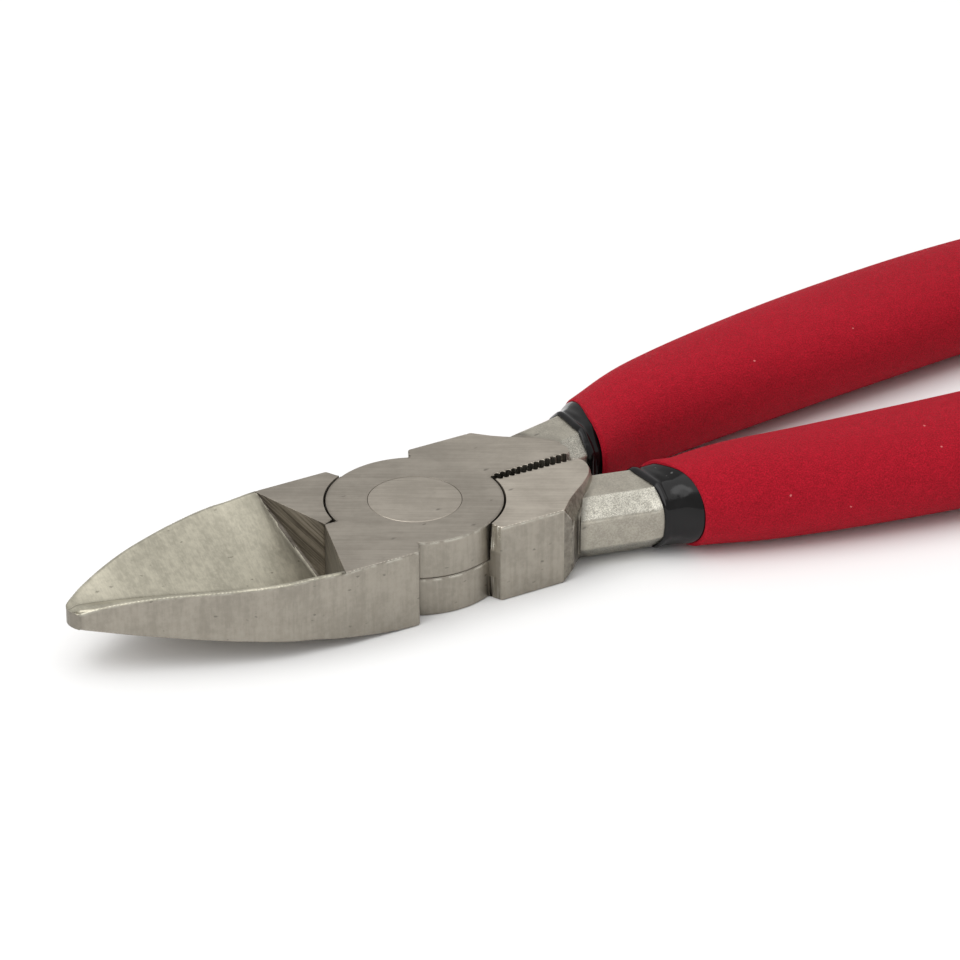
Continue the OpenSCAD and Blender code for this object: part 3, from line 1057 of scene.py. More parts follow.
@dataclass
class Skin:
    """A closed-ended skin round a handle: an outer and an inner wall joined by a lip.

    The front edge is cut on a plane that stands across the tool, so each angle of the
    section has its own first station, and the rings even out further back.
    """

    handle: HandlePlan
    low: bool
    front: float
    tilt: float = 0.0
    sides: int = 120
    even_run: float = 13.0
    end_run: float = 9.0
    fullness: float = 2.27

    @property
    def polar(self) -> Array:
        """Angles in a section, from outward towards the top."""
        return np.linspace(0, 2 * np.pi, self.sides, endpoint=False)[None]

    def first(self, across: Array) -> Array:
        """Station at which the cut plane meets each point across the handle.

        The plane's x at a point is front plus its outward distance times tan(tilt), and the
        point's station is its x plus its distance across times the line's sine.

        Args:
            across: Distance across the centre line for each angle.

        Returns:
            Stations.
        """
        handle, station = self.handle, np.full(across.shape, self.front)
        for _ in range(8):
            a = handle.turn(station)
            y = handle.spine_y(station) + across * np.cos(a)
            x = self.front + (y - handle.spine_y(self.front)) * math.tan(math.radians(self.tilt))
            station = x + across * np.sin(a)
        return station

    def stations(self, depth: Array, half_w: float) -> Array:
        """Stations of rings at each depth behind the cut, for each angle of the section."""
        lead = self.first(half_w * np.cos(self.polar)) - self.front
        fade = 1 - smooth_step(depth, 1.5, self.even_run)
        return self.front + depth[:, None] + lead * fade[:, None]

    def place(self, x: Array, radius: Array) -> Array:
        """Points in the part's own axes, for a station and a radius at each ring and angle."""
        across, up = radius * np.cos(self.polar), radius * np.sin(self.polar)
        a = self.handle.turn(x)
        own = np.stack([x - across * np.sin(a), self.handle.spine_y(x) + across * np.cos(a),
                        self.handle.spine_z(x, self.low) + up], -1)
        return own * [1, -1 if self.low else 1, 1]

    def oval(self, half_w: Array, half_t: Array) -> Array:
        """Radius of an oval of power fullness, whose sides are fuller than an ellipse's."""
        c, s = np.abs(np.cos(self.polar)), np.abs(np.sin(self.polar))
        total = (c / half_w) ** self.fullness + (s / half_t) ** self.fullness
        return total ** (-1 / self.fullness)

    def octagon(self, half_w: Array, half_t: Array, cut: Array, crisp: float) -> Array:
        """Radius of an eight-sided section with soft corners.

        It is the power mean of the distances to the sides, the flats and the chamfers; a
        higher power gives a crisper corner.
        """
        c, s = np.abs(np.cos(self.polar)), np.abs(np.sin(self.polar))
        chamfer = (c + s) / (half_w + half_t - cut)
        total = (c / half_w) ** crisp + (s / half_t) ** crisp + chamfer**crisp
        return total ** (-1 / crisp)

    def dome(self, x: Array, last: float) -> Array:
        """Share of full size near a rounded end: sqrt(1 - t^2) over the last end_run."""
        t = np.clip((x - last + self.end_run) / self.end_run, 0, 1)
        return np.sqrt(np.maximum(0.0004, 1 - t**2))

    def tail(self, start: float, angles: list[float]) -> Array:
        """Depths of rings round the end: start plus end_run times the sine of each angle."""
        return start + self.end_run * np.sin(np.radians(angles))

    def wrap(self, x: Array, grow: Array | float, cut: Array | float, crisp: float) -> Array:
        """Radius of the shank's eight-sided section at each station.

        Args:
            x: Stations.
            grow: What is added to the half width and half thickness.
            cut: What is added to the chamfer.
            crisp: Power of the corners, as in octagon.

        Returns:
            Radius at each station and angle.
        """
        handle = self.handle
        return self.octagon(handle.half_w(x) + grow, handle.half_t(x) + grow,
                            handle.edge_cut(x) + cut, crisp)

    def close(self, name: str, inner: tuple[Array, Array], outer: tuple[Array, Array],
              rim: Array) -> Piece:
        """Joins the inner wall, from its closed end to the lip, to the outer wall.

        Args:
            name: The piece's name.
            inner: Stations and radii of the inner wall, from the lip inwards.
            outer: Stations and radii of the outer wall, from the lip to the end.
            rim: Value of the rim mask on each outer ring.

        Returns:
            The new object.
        """
        rings = np.concatenate([self.place(inner[0][::-1], inner[1][::-1]), self.place(*outer)])
        faces = tube_faces(len(rings), self.sides)
        if self.low:
            faces = [face[::-1] for face in faces]
        piece = add_mesh(name, rings.reshape(-1, 3), faces, 60)
        values = np.concatenate([np.full(len(inner[0]), rim[0]), rim])
        add_mask(piece, "rim", np.repeat(values, self.sides))
        return piece


@dataclass
class Sleeve(Skin):
    """The black sleeve that hugs the shank's eight sides and flares under the grip."""

    lip: float = 0.2
    hug: float = 0.34
    flare: float = 4.2
    body_w: float = 5.95
    body_t: float = 5.2
    mouth_w: float = 6.42
    mouth_t: float = 5.55
    end_short: float = 5.0

    def build(self) -> Piece:
        """Blends from the shank's eight-sided section to an oval, with a bead round the lip.

        The bead is the half ellipse sqrt(1 - t^2) over the first millimetre, and a small
        fold, a Gaussian in depth, stands behind it at four places round the section.
        """
        handle = self.handle
        last = handle.reach - self.end_short
        run = last - self.end_run - self.front
        near = np.array([0, 0.02, 0.07, 0.15, 0.26, 0.4, 0.55, 0.72, 0.92, 1.15, 1.45, 1.8, 2.2, 2.6, 3.0,
                         3.4, 3.8, 4.3, 4.9, 5.6])
        tail = self.tail(run, [12, 25, 38, 50, 62, 72, 80, 86, 90])
        depth = np.concatenate([near, np.linspace(6.6, run, 40), tail])
        x = self.stations(depth, handle.sleeve_w / 2)
        d = depth[:, None]
        bead = np.sqrt(np.clip(1 - ((d - 0.5) / 0.55) ** 2, 0, 1))
        crest = (0.5 + 0.5 * np.cos(4 * self.polar + 0.5)) ** 3
        fold = 0.22 * np.exp(-(((d - 1.8) / 0.5) ** 2)) * crest
        grow = self.hug * smooth_step(d, -0.5, 0.6) + self.lip * bead + fold
        shank = self.wrap(x, 0, 0, 60)
        tight = self.wrap(x, grow, grow * 0.5, 22)
        flare = smooth_step(d, 0.6, self.flare)
        under = smooth_step(d, self.flare + 0.9, self.flare + 2.4)
        half_w = mix(mix(self.body_w, self.mouth_w, flare), self.body_w, under) * self.dome(x, last)
        half_t = mix(mix(self.body_t, self.mouth_t, flare), self.body_t, under) * self.dome(x, last)
        full = self.oval(np.maximum(half_w, 0.05), np.maximum(half_t, 0.05))
        outer = mix(tight, full, smooth_step(d, 0.9, self.flare + 0.8))
        outer = np.where(x < handle.tang_end - 3, np.maximum(outer, shank + 0.16), outer)
        inside_depth = np.concatenate([near[1:] + 0.02, np.linspace(6.6, handle.tang_end - self.front, 30)])
        x_in = self.stations(inside_depth, handle.sleeve_w / 2)
        inner = self.wrap(x_in, handle.skin_gap, 0, 60)
        name = ("lower" if self.low else "upper") + "_sleeve_skin"
        return self.close(name, (x_in, inner), (x, outer), bead[:, 0] * 0.6)


@dataclass
class Grip(Skin):
    """The red grip: it swells from its lip to full width and ends in a dome."""

    mouth_w: float = 12.9
    mouth_t: float = 11.2
    swell_x: float = 35.2
    swell_w: float = 62.0
    swell_t: float = 12.0
    lip: float = 0.6
    proud: float = 0.3
    end_short: float = 0.05
    end_wall: float = 4.6
    bore_w: tuple[float, float] = (6.42, 5.97)
    bore_t: tuple[float, float] = (5.55, 5.22)

    def half(self, x: Array, full: float, mouth: float, run: float, power: float) -> Array:
        """Half width or thickness, which closes on its full size as (1 - t)^power.

        Args:
            x: Stations.
            full: Full size.
            mouth: Size at the front edge.
            run: Length over which it swells.
            power: Power of the approach.

        Returns:
            Half the size at each station.
        """
        return full / 2 - (full - mouth) / 2 * (1 - np.clip((x - self.swell_x) / run, 0, 1)) ** power

    def build(self) -> Piece:
        """Carries a swelling oval along the handle, with its lip rolled to a quarter round."""
        handle = self.handle
        last = handle.reach - self.end_short
        run = last - self.end_run - self.front
        roll = self.lip * (1 - np.cos(np.radians([0, 12, 24, 36, 48, 60, 72, 81, 90])))
        tail = self.tail(run, [3, 8, 14, 21, 28, 35, 42, 49, 56, 63, 69, 75, 80, 84, 87, 89, 90])
        depth = np.concatenate([roll, np.linspace(0.9, 16, 22), np.linspace(17.5, run - 0.2, 60), tail])
        x, d = self.stations(depth, self.mouth_w / 2), depth[:, None]
        half_w = self.half(x, handle.grip_w, self.mouth_w, self.swell_w, 2.2)
        half_t = self.half(x, handle.grip_t, self.mouth_t, self.swell_t, 2.0)
        proud, dome = self.proud * np.exp(-d / 1.6), self.dome(x, last)
        outer = self.oval((half_w + proud) * dome, (half_t + proud * 0.6) * dome)
        outer = outer - quarter_round(d, self.lip)
        end = last - self.end_wall
        in_run = end - self.end_run - self.front
        in_tail = self.tail(in_run, [15, 30, 45, 60, 72, 82, 90])
        in_depth = np.concatenate([np.linspace(0.02, in_run, 40), in_tail])
        x_in = self.stations(in_depth, self.mouth_w / 2)
        narrow = smooth_step(in_depth, 0.9, 2.4)[:, None]
        dome, gap = self.dome(x_in, end), handle.skin_gap + 0.02
        inner = self.oval(mix(*self.bore_w, narrow) * dome + gap, mix(*self.bore_t, narrow) * dome + gap)
        name = ("lower" if self.low else "upper") + "_grip_skin"
        return self.close(name, (x_in, inner), (x, outer), np.exp(-depth / 0.8))


# ---------------------------------------------------------------------------------------
# Finishes
# ---------------------------------------------------------------------------------------


def add_mask(piece: Piece, name: str, values: Array) -> None:
    """Stores one value per vertex as an attribute that the finishes read."""
    layer = piece.data.attributes.new(name, "FLOAT", "POINT")
    layer.data.foreach_set("value", np.asarray(values, np.float32))


def put(tree: Tree, kind: str, inputs: dict | None = None, **settings: object) -> Node:
    """Adds a node, sets its properties and inputs, and links the inputs given as sockets.

    Args:
        tree: Tree to add to.
        kind: The node's type.
        inputs: Values or sockets by input name or number.
        **settings: Properties of the node.

    Returns:
        The new node.
    """
    made = tree.nodes.new(kind)
    for key, value in settings.items():
        setattr(made, key, value)
    for key, value in (inputs or {}).items():
        if isinstance(value, Socket):
            tree.links.new(value, made.inputs[key])
        else:
            made.inputs[key].default_value = value
    return made


def maths(tree: Tree, operation: str, *values: object) -> Socket:
    """Adds a Math node and gives its result."""
    return put(tree, "ShaderNodeMath", dict(enumerate(values)), operation=operation).outputs[0]


def blend_colour(tree: Tree, share: object, a: object, b: object) -> Socket:
    """Mixes two colours by a share and gives the result."""
    made = put(tree, "ShaderNodeMix", {0: share, 6: a, 7: b}, data_type="RGBA")
    return made.outputs[2]


def vector_maths(tree: Tree, operation: str, a: object, b: object) -> Socket:
    """Adds a Vector Math node and gives its result."""
    return put(tree, "ShaderNodeVectorMath", {0: a, 1: b}, operation=operation).outputs[0]


def noise(tree: Tree, point: Socket, scale: object, detail: float = 2.0, rough: float = 0.5) -> Node:
    """Adds a Noise Texture node at a point."""
    return put(tree, "ShaderNodeTexNoise",
               {"Vector": point, "Scale": scale, "Detail": detail, "Roughness": rough})


def bump(tree: Tree, height: Socket, strength: float, depth: float, under: Socket | None = None) -> Socket:
    """Adds a Bump node.

    Args:
        tree: Tree to add to.
        height: The pattern of heights, from 0 to 1.
        strength: Strength of the bumps.
        depth: Height of the pattern's full range, in millimetres.
        under: Normal that the bumps are laid over, if any.

    Returns:
        The bumped normal.
    """
    inputs = {"Height": height, "Strength": strength, "Distance": depth * MM}
    if under is not None:
        inputs["Normal"] = under
    return put(tree, "ShaderNodeBump", inputs).outputs[0]


def read_mask(tree: Tree, name: str) -> Socket:
    """Reads a mask that a piece holds at its vertices."""
    return put(tree, "ShaderNodeAttribute", attribute_name=name).outputs["Fac"]


def ranged(tree: Tree, value: Socket, low: float, high: float, out_low: float = 0.0,
           out_high: float = 1.0) -> Socket:
    """Maps low to out_low and high to out_high, and holds the ends."""
    made = put(tree, "ShaderNodeMapRange", {0: value, 1: low, 2: high, 3: out_low, 4: out_high},
               interpolation_type="SMOOTHSTEP")
    return made.outputs[0]


def new_group(name: str, inputs: dict[str, tuple[str, object]],
              outputs: list[str]) -> tuple[Tree, Node, Node]:
    """Starts a shader node group with named sockets.

    Args:
        name: The group's name.
        inputs: Socket type and default by name.
        outputs: Names of the value outputs.

    Returns:
        The group, its input node and its output node.
    """
    tree = bpy.data.node_groups.new(name, "ShaderNodeTree")
    for label, (kind, default) in inputs.items():
        made = tree.interface.new_socket(label, in_out="INPUT", socket_type=kind)
        if default is not None:
            made.default_value = default
    for label in outputs:
        tree.interface.new_socket(label, in_out="OUTPUT", socket_type="NodeSocketFloat")
    return tree, tree.nodes.new("NodeGroupInput"), tree.nodes.new("NodeGroupOutput")


VECTOR, FLOAT = "NodeSocketVector", "NodeSocketFloat"


def grain_group() -> Tree:
    """Brushed grain: fine lines, and broad streaks along the same way.

    The point is stretched by the Stretch input, lines per metre on each axis, and noise of
    the stretched point is the lines. Streaks are the same at a sixth of the pitch.
    """
    inputs = {"Point": (VECTOR, None), "Turn": (VECTOR, (0, 0, 0)), "Stretch": (VECTOR, (60, 3000, 3000))}
    tree, given, out = new_group("Brushed grain", inputs, ["Lines", "Streaks"])
    turned = put(tree, "ShaderNodeMapping", {"Vector": given.outputs[0], "Rotation": given.outputs[1],
                                             "Scale": (1, 1, 1)}, vector_type="POINT")
    wide = vector_maths(tree, "MULTIPLY", turned.outputs[0], given.outputs[2])
    fine = noise(tree, wide, 1.0, 3.0, 0.6)
    slow = vector_maths(tree, "MULTIPLY", wide, (0.4, 0.16, 0.16))
    broad = noise(tree, slow, 1.0)
    tree.links.new(ranged(tree, fine.outputs[0], 0.3, 0.7), out.inputs[0])
    tree.links.new(ranged(tree, broad.outputs[0], 0.32, 0.68), out.inputs[1])
    return tree


def mottle_group() -> Tree:
    """Cloudy patches and fine mottling, as noise at two pitches."""
    inputs = {"Point": (VECTOR, None), "Pitch": (FLOAT, 200.0)}
    tree, given, out = new_group("Mottle", inputs, ["Patches", "Mottling"])
    slow = noise(tree, given.outputs[0], given.outputs[1], 3.0)
    quick = maths(tree, "MULTIPLY", given.outputs[1], 7.0)
    fine = noise(tree, given.outputs[0], quick, 4.0, 0.7)
    tree.links.new(ranged(tree, slow.outputs[0], 0.35, 0.65), out.inputs[0])
    tree.links.new(ranged(tree, fine.outputs[0], 0.3, 0.7), out.inputs[1])
    return tree


def speck_group() -> Tree:
    """Specks: cells whose random value is past 1 - Share get a dot of the Size input."""
    inputs = {"Point": (VECTOR, None), "Pitch": (FLOAT, 900.0), "Share": (FLOAT, 0.2), "Size": (FLOAT, 0.25)}
    tree, given, out = new_group("Specks", inputs, ["Mask"])
    wobble = noise(tree, given.outputs[0], maths(tree, "MULTIPLY", given.outputs[1], 1.7))
    shift = vector_maths(tree, "MULTIPLY", wobble.outputs["Color"], (0.0006, 0.0006, 0.0006))
    warped = vector_maths(tree, "ADD", given.outputs[0], shift)
    cells = put(tree, "ShaderNodeTexVoronoi", {"Vector": warped, "Scale": given.outputs[1]})
    chance = put(tree, "ShaderNodeSeparateColor", {0: cells.outputs["Color"]}).outputs[0]
    chosen = maths(tree, "LESS_THAN", chance, given.outputs[2])
    near = maths(tree, "SUBTRACT", 1.0, maths(tree, "DIVIDE", cells.outputs["Distance"], given.outputs[3]))
    dot = put(tree, "ShaderNodeClamp", {0: maths(tree, "MULTIPLY", near, 2.0)}).outputs[0]
    tree.links.new(maths(tree, "MULTIPLY", dot, chosen), out.inputs[0])
    return tree


def wear_and_highlight_group() -> Tree:
    """Rubbed edges and painted highlights: the Rim mask broken up by noise, so that the bright line comes
    and goes.
    """
    inputs = {"Point": (VECTOR, None), "Rim": (FLOAT, 0.0), "Pitch": (FLOAT, 700.0)}
    tree, given, out = new_group("Worn edge and painted highlight", inputs, ["Mask"])
    broken = ranged(tree, noise(tree, given.outputs[0], given.outputs[2], 3.0).outputs[0], 0.42, 0.62)
    tree.links.new(maths(tree, "MULTIPLY", given.outputs[1], broken), out.inputs[0])
    return tree


@dataclass
class Shop:
    """The node groups that the finishes share."""

    grain: Tree
    mottle: Tree
    specks: Tree
    wear_and_highlight: Tree

    @classmethod
    def open(cls) -> "Shop":
        """Builds each group once."""
        return cls(grain_group(), mottle_group(), speck_group(), wear_and_highlight_group())


def start_material(name: str) -> tuple[bpy.types.Material, Tree, Node, Socket]:
    """Makes a node material.

    Args:
        name: The finish's name.

    Returns:
        The material, its tree, its shader and the object's own coordinates.
    """
    material = bpy.data.materials.new(name)
    material.use_nodes = True
    tree = material.node_tree
    point = tree.nodes.new("ShaderNodeTexCoord").outputs["Object"]
    return material, tree, tree.nodes["Principled BSDF"], point


def use(tree: Tree, group: Tree, **inputs: object) -> Node:
    """Places a node group in a tree with its own values.

    Args:
        tree: Tree to add to.
        group: The group to place.
        **inputs: Values or sockets by input name.

    Returns:
        The new node.
    """
    made = tree.nodes.new("ShaderNodeGroup")
    made.node_tree = group
    for label, value in inputs.items():
        if isinstance(value, Socket):
            tree.links.new(value, made.inputs[label])
        else:
            made.inputs[label].default_value = value
    return made


@dataclass(frozen=True)
class Steel:
    """Bare steel with grain, mottling, pits, grime with painted shade, rubbed edges with painted highlights,
    and parts made brighter, partly by a painted sheen.
    """

    name: str
    dark: Colour
    light: Colour
    turn: Triple = (0, 0, 0)
    stretch: Triple = (70, 3200, 3200)
    lines: float = 0.45
    mottle: float = 0.3
    pitch: float = 160.0
    pits: float = 0.05
    pit_pitch: float = 900.0
    pit_stretch: Triple = (0.6, 1.2, 1.2)
    roughness: float = 0.36
    metallic: float = 0.92
    line_depth: float = 0.006
    grit_depth: float = 0.004
    grit: float = 0.7
    # Colour of the rubbed edges, which also paints the highlights along the edges and the shank's creases.
    edge: Colour = (0.57, 0.545, 0.47, 1)
    # Colour of the grime, which also paints shade in the valley behind the block and at the bevel's root.
    shade_and_soil: Colour = (0.045, 0.038, 0.030, 1)
    # How much the fresh mask brightens the steel, partly a painted sheen.
    fresh_and_sheen_gain: float = 0.38

    def make(self, shop: Shop) -> bpy.types.Material:
        """Builds the material.

        The colour runs from dark to light by grain and mottling. The fresh mask makes it
        brighter, partly as a painted sheen, then come the pits, the bright rubbed edges with their
        painted highlights, and last the grime with its painted shade.

        Args:
            shop: The node groups to place.

        Returns:
            The material.
        """
        material, tree, shader, point = start_material(self.name)
        grain = use(tree, shop.grain, Point=point, Turn=self.turn, Stretch=self.stretch)
        cloud = use(tree, shop.mottle, Point=point, Pitch=self.pitch)
        drawn = vector_maths(tree, "MULTIPLY", point, self.pit_stretch)
        dots = use(tree, shop.specks, Point=drawn, Pitch=self.pit_pitch, Share=self.pits, Size=0.28)
        pits = dots.outputs[0]
        # Rubbed edges, with painted highlights along the edges and the shank's creases.
        wear_and_highlight = use(tree, shop.wear_and_highlight, Point=point, Rim=read_mask(tree, "rim")).outputs[0]
        lines = maths(tree, "MULTIPLY", grain.outputs[0], self.lines)
        streaks = maths(tree, "MULTIPLY", grain.outputs[1], self.lines * 0.6)
        patches = maths(tree, "MULTIPLY", cloud.outputs[0], self.mottle)
        grit = maths(tree, "MULTIPLY", cloud.outputs[1], self.mottle * self.grit)
        share = maths(tree, "ADD", maths(tree, "ADD", lines, streaks), maths(tree, "ADD", patches, grit))
        whole = 1.6 * self.lines + (1 + self.grit) * self.mottle
        colour = blend_colour(tree, ranged(tree, share, 0.1 * whole, 0.9 * whole), self.dark, self.light)
        # Painted sheen in part: the fresh mask brightens the block's top, together with a brighter finish.
        value = maths(tree, "MULTIPLY_ADD", read_mask(tree, "fresh_and_sheen"), self.fresh_and_sheen_gain, 1.0)
        colour = put(tree, "ShaderNodeHueSaturation", {"Value": value, "Color": colour}).outputs[0]
        pit_share = maths(tree, "MULTIPLY", pits, 0.55)
        colour = blend_colour(tree, pit_share, colour, tuple(c * 0.35 for c in self.dark[:3]) + (1,))
        colour = blend_colour(tree, wear_and_highlight, colour, self.edge)
        # Grime and painted shade: the seams, the valley behind the block and the bevel's root are darkened.
        patchy = ranged(tree, cloud.outputs[1], 0.0, 1.0, 0.45, 1.0)
        grime_and_shade = maths(tree, "MULTIPLY", read_mask(tree, "grime_and_shade"), patchy)
        colour = blend_colour(tree, grime_and_shade, colour, self.shade_and_soil)
        tree.links.new(colour, shader.inputs["Base Color"])
        rough = maths(tree, "MULTIPLY_ADD", share, 0.12 / whole, self.roughness - 0.06)
        rough = maths(tree, "SUBTRACT", rough, maths(tree, "MULTIPLY", wear_and_highlight, 0.1))
        tree.links.new(rough, shader.inputs["Roughness"])
        shader.inputs["Metallic"].default_value = self.metallic
        fine = bump(tree, maths(tree, "SUBTRACT", grain.outputs[0], pits), 0.6, self.line_depth)
        sand = bump(tree, cloud.outputs[1], 0.7, self.grit_depth, fine)
        tree.links.new(sand, shader.inputs["Normal"])
        return material


@dataclass(frozen=True)
class Vinyl:
    """Glossy dipped vinyl with smudges, a light orange peel and dusty specks."""

    name: str = "black_dipped_vinyl"
    colour: Colour = (0.002, 0.0018, 0.0019, 1)
    smudge: Colour = (0.006, 0.0055, 0.006, 1)

    def make(self, shop: Shop) -> bpy.types.Material:
        """Builds the material: smudges change colour and gloss, and noise gives the peel.

        Args:
            shop: The node groups to place.

        Returns:
            The material.
        """
        material, tree, shader, point = start_material(self.name)
        cloud = use(tree, shop.mottle, Point=point, Pitch=260.0)
        dust = use(tree, shop.specks, Point=point, Pitch=1200.0, Share=0.05, Size=0.2).outputs[0]
        colour = blend_colour(tree, cloud.outputs[0], self.colour, self.smudge)
        colour = blend_colour(tree, maths(tree, "MULTIPLY", dust, 0.35), colour, (0.3, 0.3, 0.29, 1))
        tree.links.new(colour, shader.inputs["Base Color"])
        tree.links.new(ranged(tree, cloud.outputs[0], 0, 1, 0.1, 0.22), shader.inputs["Roughness"])
        shader.inputs["Specular IOR Level"].default_value = 0.3
        peel = bump(tree, cloud.outputs[0], 0.5, 0.05)
        fine = bump(tree, cloud.outputs[1], 0.4, 0.006, peel)
        tree.links.new(fine, shader.inputs["Normal"])
        return material


@dataclass(frozen=True)
class SuedeVinyl:
    """Matte vinyl with a fine suede-like skin and tiny pale specks."""

    name: str = "red_matte_vinyl"
    deep: Colour = (0.24, 0.002, 0.008, 1)
    bright: Colour = (0.61, 0.011, 0.032, 1)
    speck: Colour = (0.85, 0.30, 0.29, 1)

    def make(self, shop: Shop) -> bpy.types.Material:
        """Builds the material: mottling from deep to bright red, specks, and a velvety skin.

        Args:
            shop: The node groups to place.

        Returns:
            The material.
        """
        material, tree, shader, point = start_material(self.name)
        cloud = use(tree, shop.mottle, Point=point, Pitch=45.0)
        skin = use(tree, shop.mottle, Point=point, Pitch=760.0)
        specks = use(tree, shop.specks, Point=point, Pitch=620.0, Share=0.03, Size=0.13).outputs[0]
        share = maths(tree, "MULTIPLY", skin.outputs[1], 0.86)
        share = maths(tree, "MULTIPLY_ADD", cloud.outputs[0], 0.06, share)
        share = maths(tree, "MULTIPLY_ADD", skin.outputs[0], 0.08, share)
        colour = blend_colour(tree, share, self.deep, self.bright)
        colour = blend_colour(tree, maths(tree, "MULTIPLY", specks, 0.7), colour, self.speck)
        tree.links.new(colour, shader.inputs["Base Color"])
        tree.links.new(ranged(tree, skin.outputs[1], 0, 1, 0.66, 0.86), shader.inputs["Roughness"])
        shader.inputs["Specular IOR Level"].default_value = 0.12
        shader.inputs["Sheen Weight"].default_value = 0.04
        shader.inputs["Sheen Roughness"].default_value = 0.45
        shader.inputs["Sheen Tint"].default_value = (1.0, 0.4, 0.42, 1)
        nap = bump(tree, skin.outputs[1], 1.0, 0.08)
        lump = bump(tree, skin.outputs[0], 0.35, 0.06, nap)
        tree.links.new(lump, shader.inputs["Normal"])
        return material


STEELS = {
    Zone.FACE: Steel("ground_face_steel", (0.345, 0.309, 0.26, 1), (0.45, 0.408, 0.349, 1),
                     stretch=(130, 4200, 4200), turn=(0, 0, 0.54), mottle=0.25, lines=0.35, pits=0.03),
    Zone.BEVEL: Steel("ground_bevel_steel", (0.42, 0.395, 0.318, 1), (0.585, 0.552, 0.448, 1),
                      stretch=(3600, 600, 1500), mottle=0.3, grit=1.4, lines=0.26, pits=0.1,
                      pit_pitch=1400.0, roughness=0.42),
    Zone.WALL: Steel("milled_wall_steel", (0.052, 0.044, 0.036, 1), (0.20, 0.178, 0.15, 1),
                     stretch=(150, 90, 3400), turn=(-0.37, 0, 0), lines=0.7, mottle=0.2, roughness=0.42,
                     line_depth=0.02),
    Zone.SIDE: Steel("ground_side_steel", (0.272, 0.249, 0.209, 1), (0.362, 0.331, 0.28, 1),
                     stretch=(1900, 1900, 200), mottle=0.3, lines=0.22, grit=0.9, pits=0.07,
                     pit_pitch=1300.0),
    Zone.SHANK: Steel("forged_shank_steel", (0.32, 0.298, 0.252, 1), (0.45, 0.422, 0.358, 1),
                      stretch=(300, 900, 900), mottle=0.3, grit=2.6, lines=0.12, roughness=0.44,
                      grit_depth=0.014, pitch=560.0),
    Zone.BLASTED: Steel("blasted_chamfer_steel", (0.27, 0.256, 0.218, 1), (0.60, 0.58, 0.512, 1),
                        stretch=(1500, 1500, 1500), mottle=0.2, grit=5.0, lines=0.05, roughness=0.36,
                        grit_depth=0.03, pitch=900.0),
}


# ---------------------------------------------------------------------------------------
# Studio
# ---------------------------------------------------------------------------------------


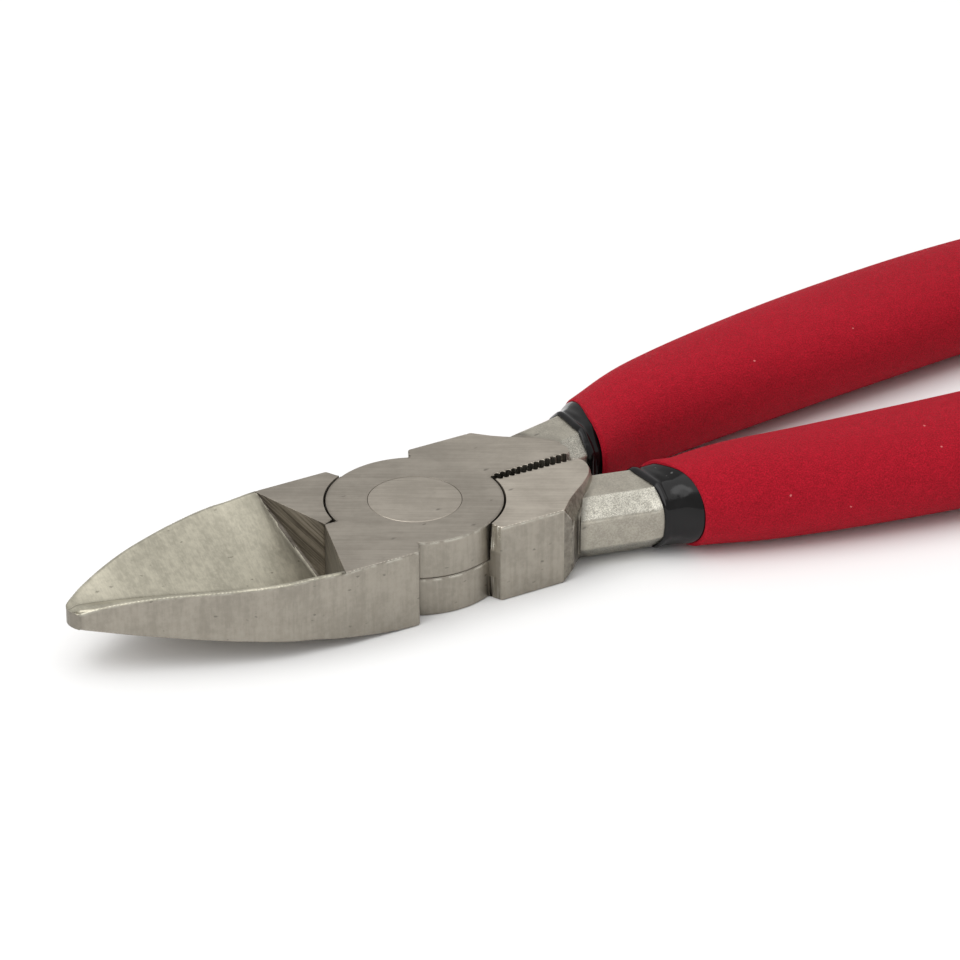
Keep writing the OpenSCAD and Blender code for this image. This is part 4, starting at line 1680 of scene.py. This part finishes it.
@dataclass(frozen=True)
class Studio:
    """A pale floor, an overhead soft box, an even surround, and the camera."""

    azimuth: float = -30.2
    elevation: float = 28.58
    aim: Triple = (10.28, 0.21, 11.2)
    distance: float = 677.1
    lens: float = 187.5
    surround: float = 0.6
    box_size: float = 1.0
    box_at: Triple = (-0.75, 0.0, 0.75)
    box_power: float = 6.0
    top_size: float = 1.2
    top_height: float = 1.0
    top_power: float = 4.5

    def build(self) -> None:
        """Places everything round the object, which stands on the floor at zero height."""
        self.floor()
        self.light()
        self.camera()
        bpy.context.scene.view_settings.view_transform = "Standard"

    def floor(self) -> None:
        """A wide flat sheet with a faint mottle, a hair under the object."""
        span = 8.0 / MM
        xy = np.array([[-span, -span], [span, -span], [span, span], [-span, span]])
        floor = add_mesh("floor", np.column_stack([xy, np.full(4, -0.05)]), [[0, 1, 2, 3]])
        material, tree, shader, point = start_material("pale_card")
        cloud = noise(tree, point, 3.0).outputs[0]
        pale = blend_colour(tree, cloud, (0.9, 0.9, 0.9, 1), (0.92, 0.92, 0.92, 1))
        tree.links.new(pale, shader.inputs["Base Color"])
        shader.inputs["Roughness"].default_value = 0.9
        shader.inputs["Specular IOR Level"].default_value = 0.1
        floor.data.materials.append(material)

    def light(self) -> None:
        """An even surround, and a square soft box over the object."""
        world = bpy.data.worlds.new("surround")
        bpy.context.scene.world = world
        world.use_nodes = True
        back = world.node_tree.nodes["Background"]
        back.inputs[0].default_value = (1.0, 0.995, 0.985, 1)
        back.inputs[1].default_value = self.surround
        lamps = [("soft_box", self.box_size, self.box_power, self.box_at),
                 ("top_panel", self.top_size, self.top_power, (0, 0, self.top_height))]
        for name, size, power, at in lamps:
            lamp = bpy.data.lights.new(name, "AREA")
            lamp.size, lamp.energy = size, power
            box = bpy.data.objects.new(name, lamp)
            box.location = at
            box.rotation_mode = "QUATERNION"
            box.rotation_quaternion = (-Vector(at)).to_track_quat("-Z", "Y")
            bpy.context.scene.collection.objects.link(box)

    def camera(self) -> None:
        """A long lens, turned by azimuth and elevation round the point it aims at."""
        a, e = math.radians(self.azimuth), math.radians(self.elevation)
        back = Vector((math.sin(a) * math.cos(e), -math.cos(a) * math.cos(e), math.sin(e)))
        lens = bpy.data.cameras.new("viewpoint")
        lens.lens, lens.clip_start, lens.clip_end = self.lens, 0.01, 50
        camera = bpy.data.objects.new("viewpoint", lens)
        camera.location = (Vector(self.aim) + back * self.distance) * MM
        camera.rotation_mode = "QUATERNION"
        camera.rotation_quaternion = (-back).to_track_quat("-Z", "Y")
        bpy.context.scene.collection.objects.link(camera)
        bpy.context.scene.camera = camera


def dress(piece: Piece, body: str, node: str,
          materials: list[bpy.types.Material]) -> None:
    """Gives a piece its materials, attaches it to its body, and hides the CAD node that it stands for.

    Args:
        piece: The finished piece.
        body: The body that it moves with.
        node: The CAD node that it stands for.
        materials: Its materials, in the order of its faces' numbers.
    """
    for material in materials:
        piece.data.materials.append(material)
    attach(piece, body)
    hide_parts(node)
    LOG.info("%s: %d faces on %s", piece.name, len(piece.data.polygons), body)


def main() -> None:
    logging.basicConfig(level=logging.INFO, format="%(name)s: %(message)s")
    head, handle, shop = HeadPlan.from_frame(), HandlePlan.from_frame(), Shop.open()
    steels = [STEELS[zone].make(shop) for zone in Zone]
    black, red = Vinyl().make(shop), SuedeVinyl().make(shop)
    rivet = Rivet(body_r=4.5, head_r=6.35, head_t=3.0, high=head.head_t)
    for low, body in ((True, "lower"), (False, "upper")):
        half = ForgedHalf(head, handle, low, rivet.body_r, rivet.head_r, rivet.head_t, run_gap=0.05)
        dress(half.build(), body, f"{body}_half", steels)
        sleeve = Sleeve(handle, low, front=SLEEVE_FRONT[body])
        dress(sleeve.build(), body, f"{body}_inner_sleeve", [black])
        grip = Grip(handle, low, front=GRIP_FRONT[body], tilt=GRIP_TILT)
        dress(grip.build(), body, f"{body}_grip", [red])
    dress(rivet.build(), "lower", "pivot_rivet", steels[:1])
    Studio().build()


if __name__ == "__main__":
    main()
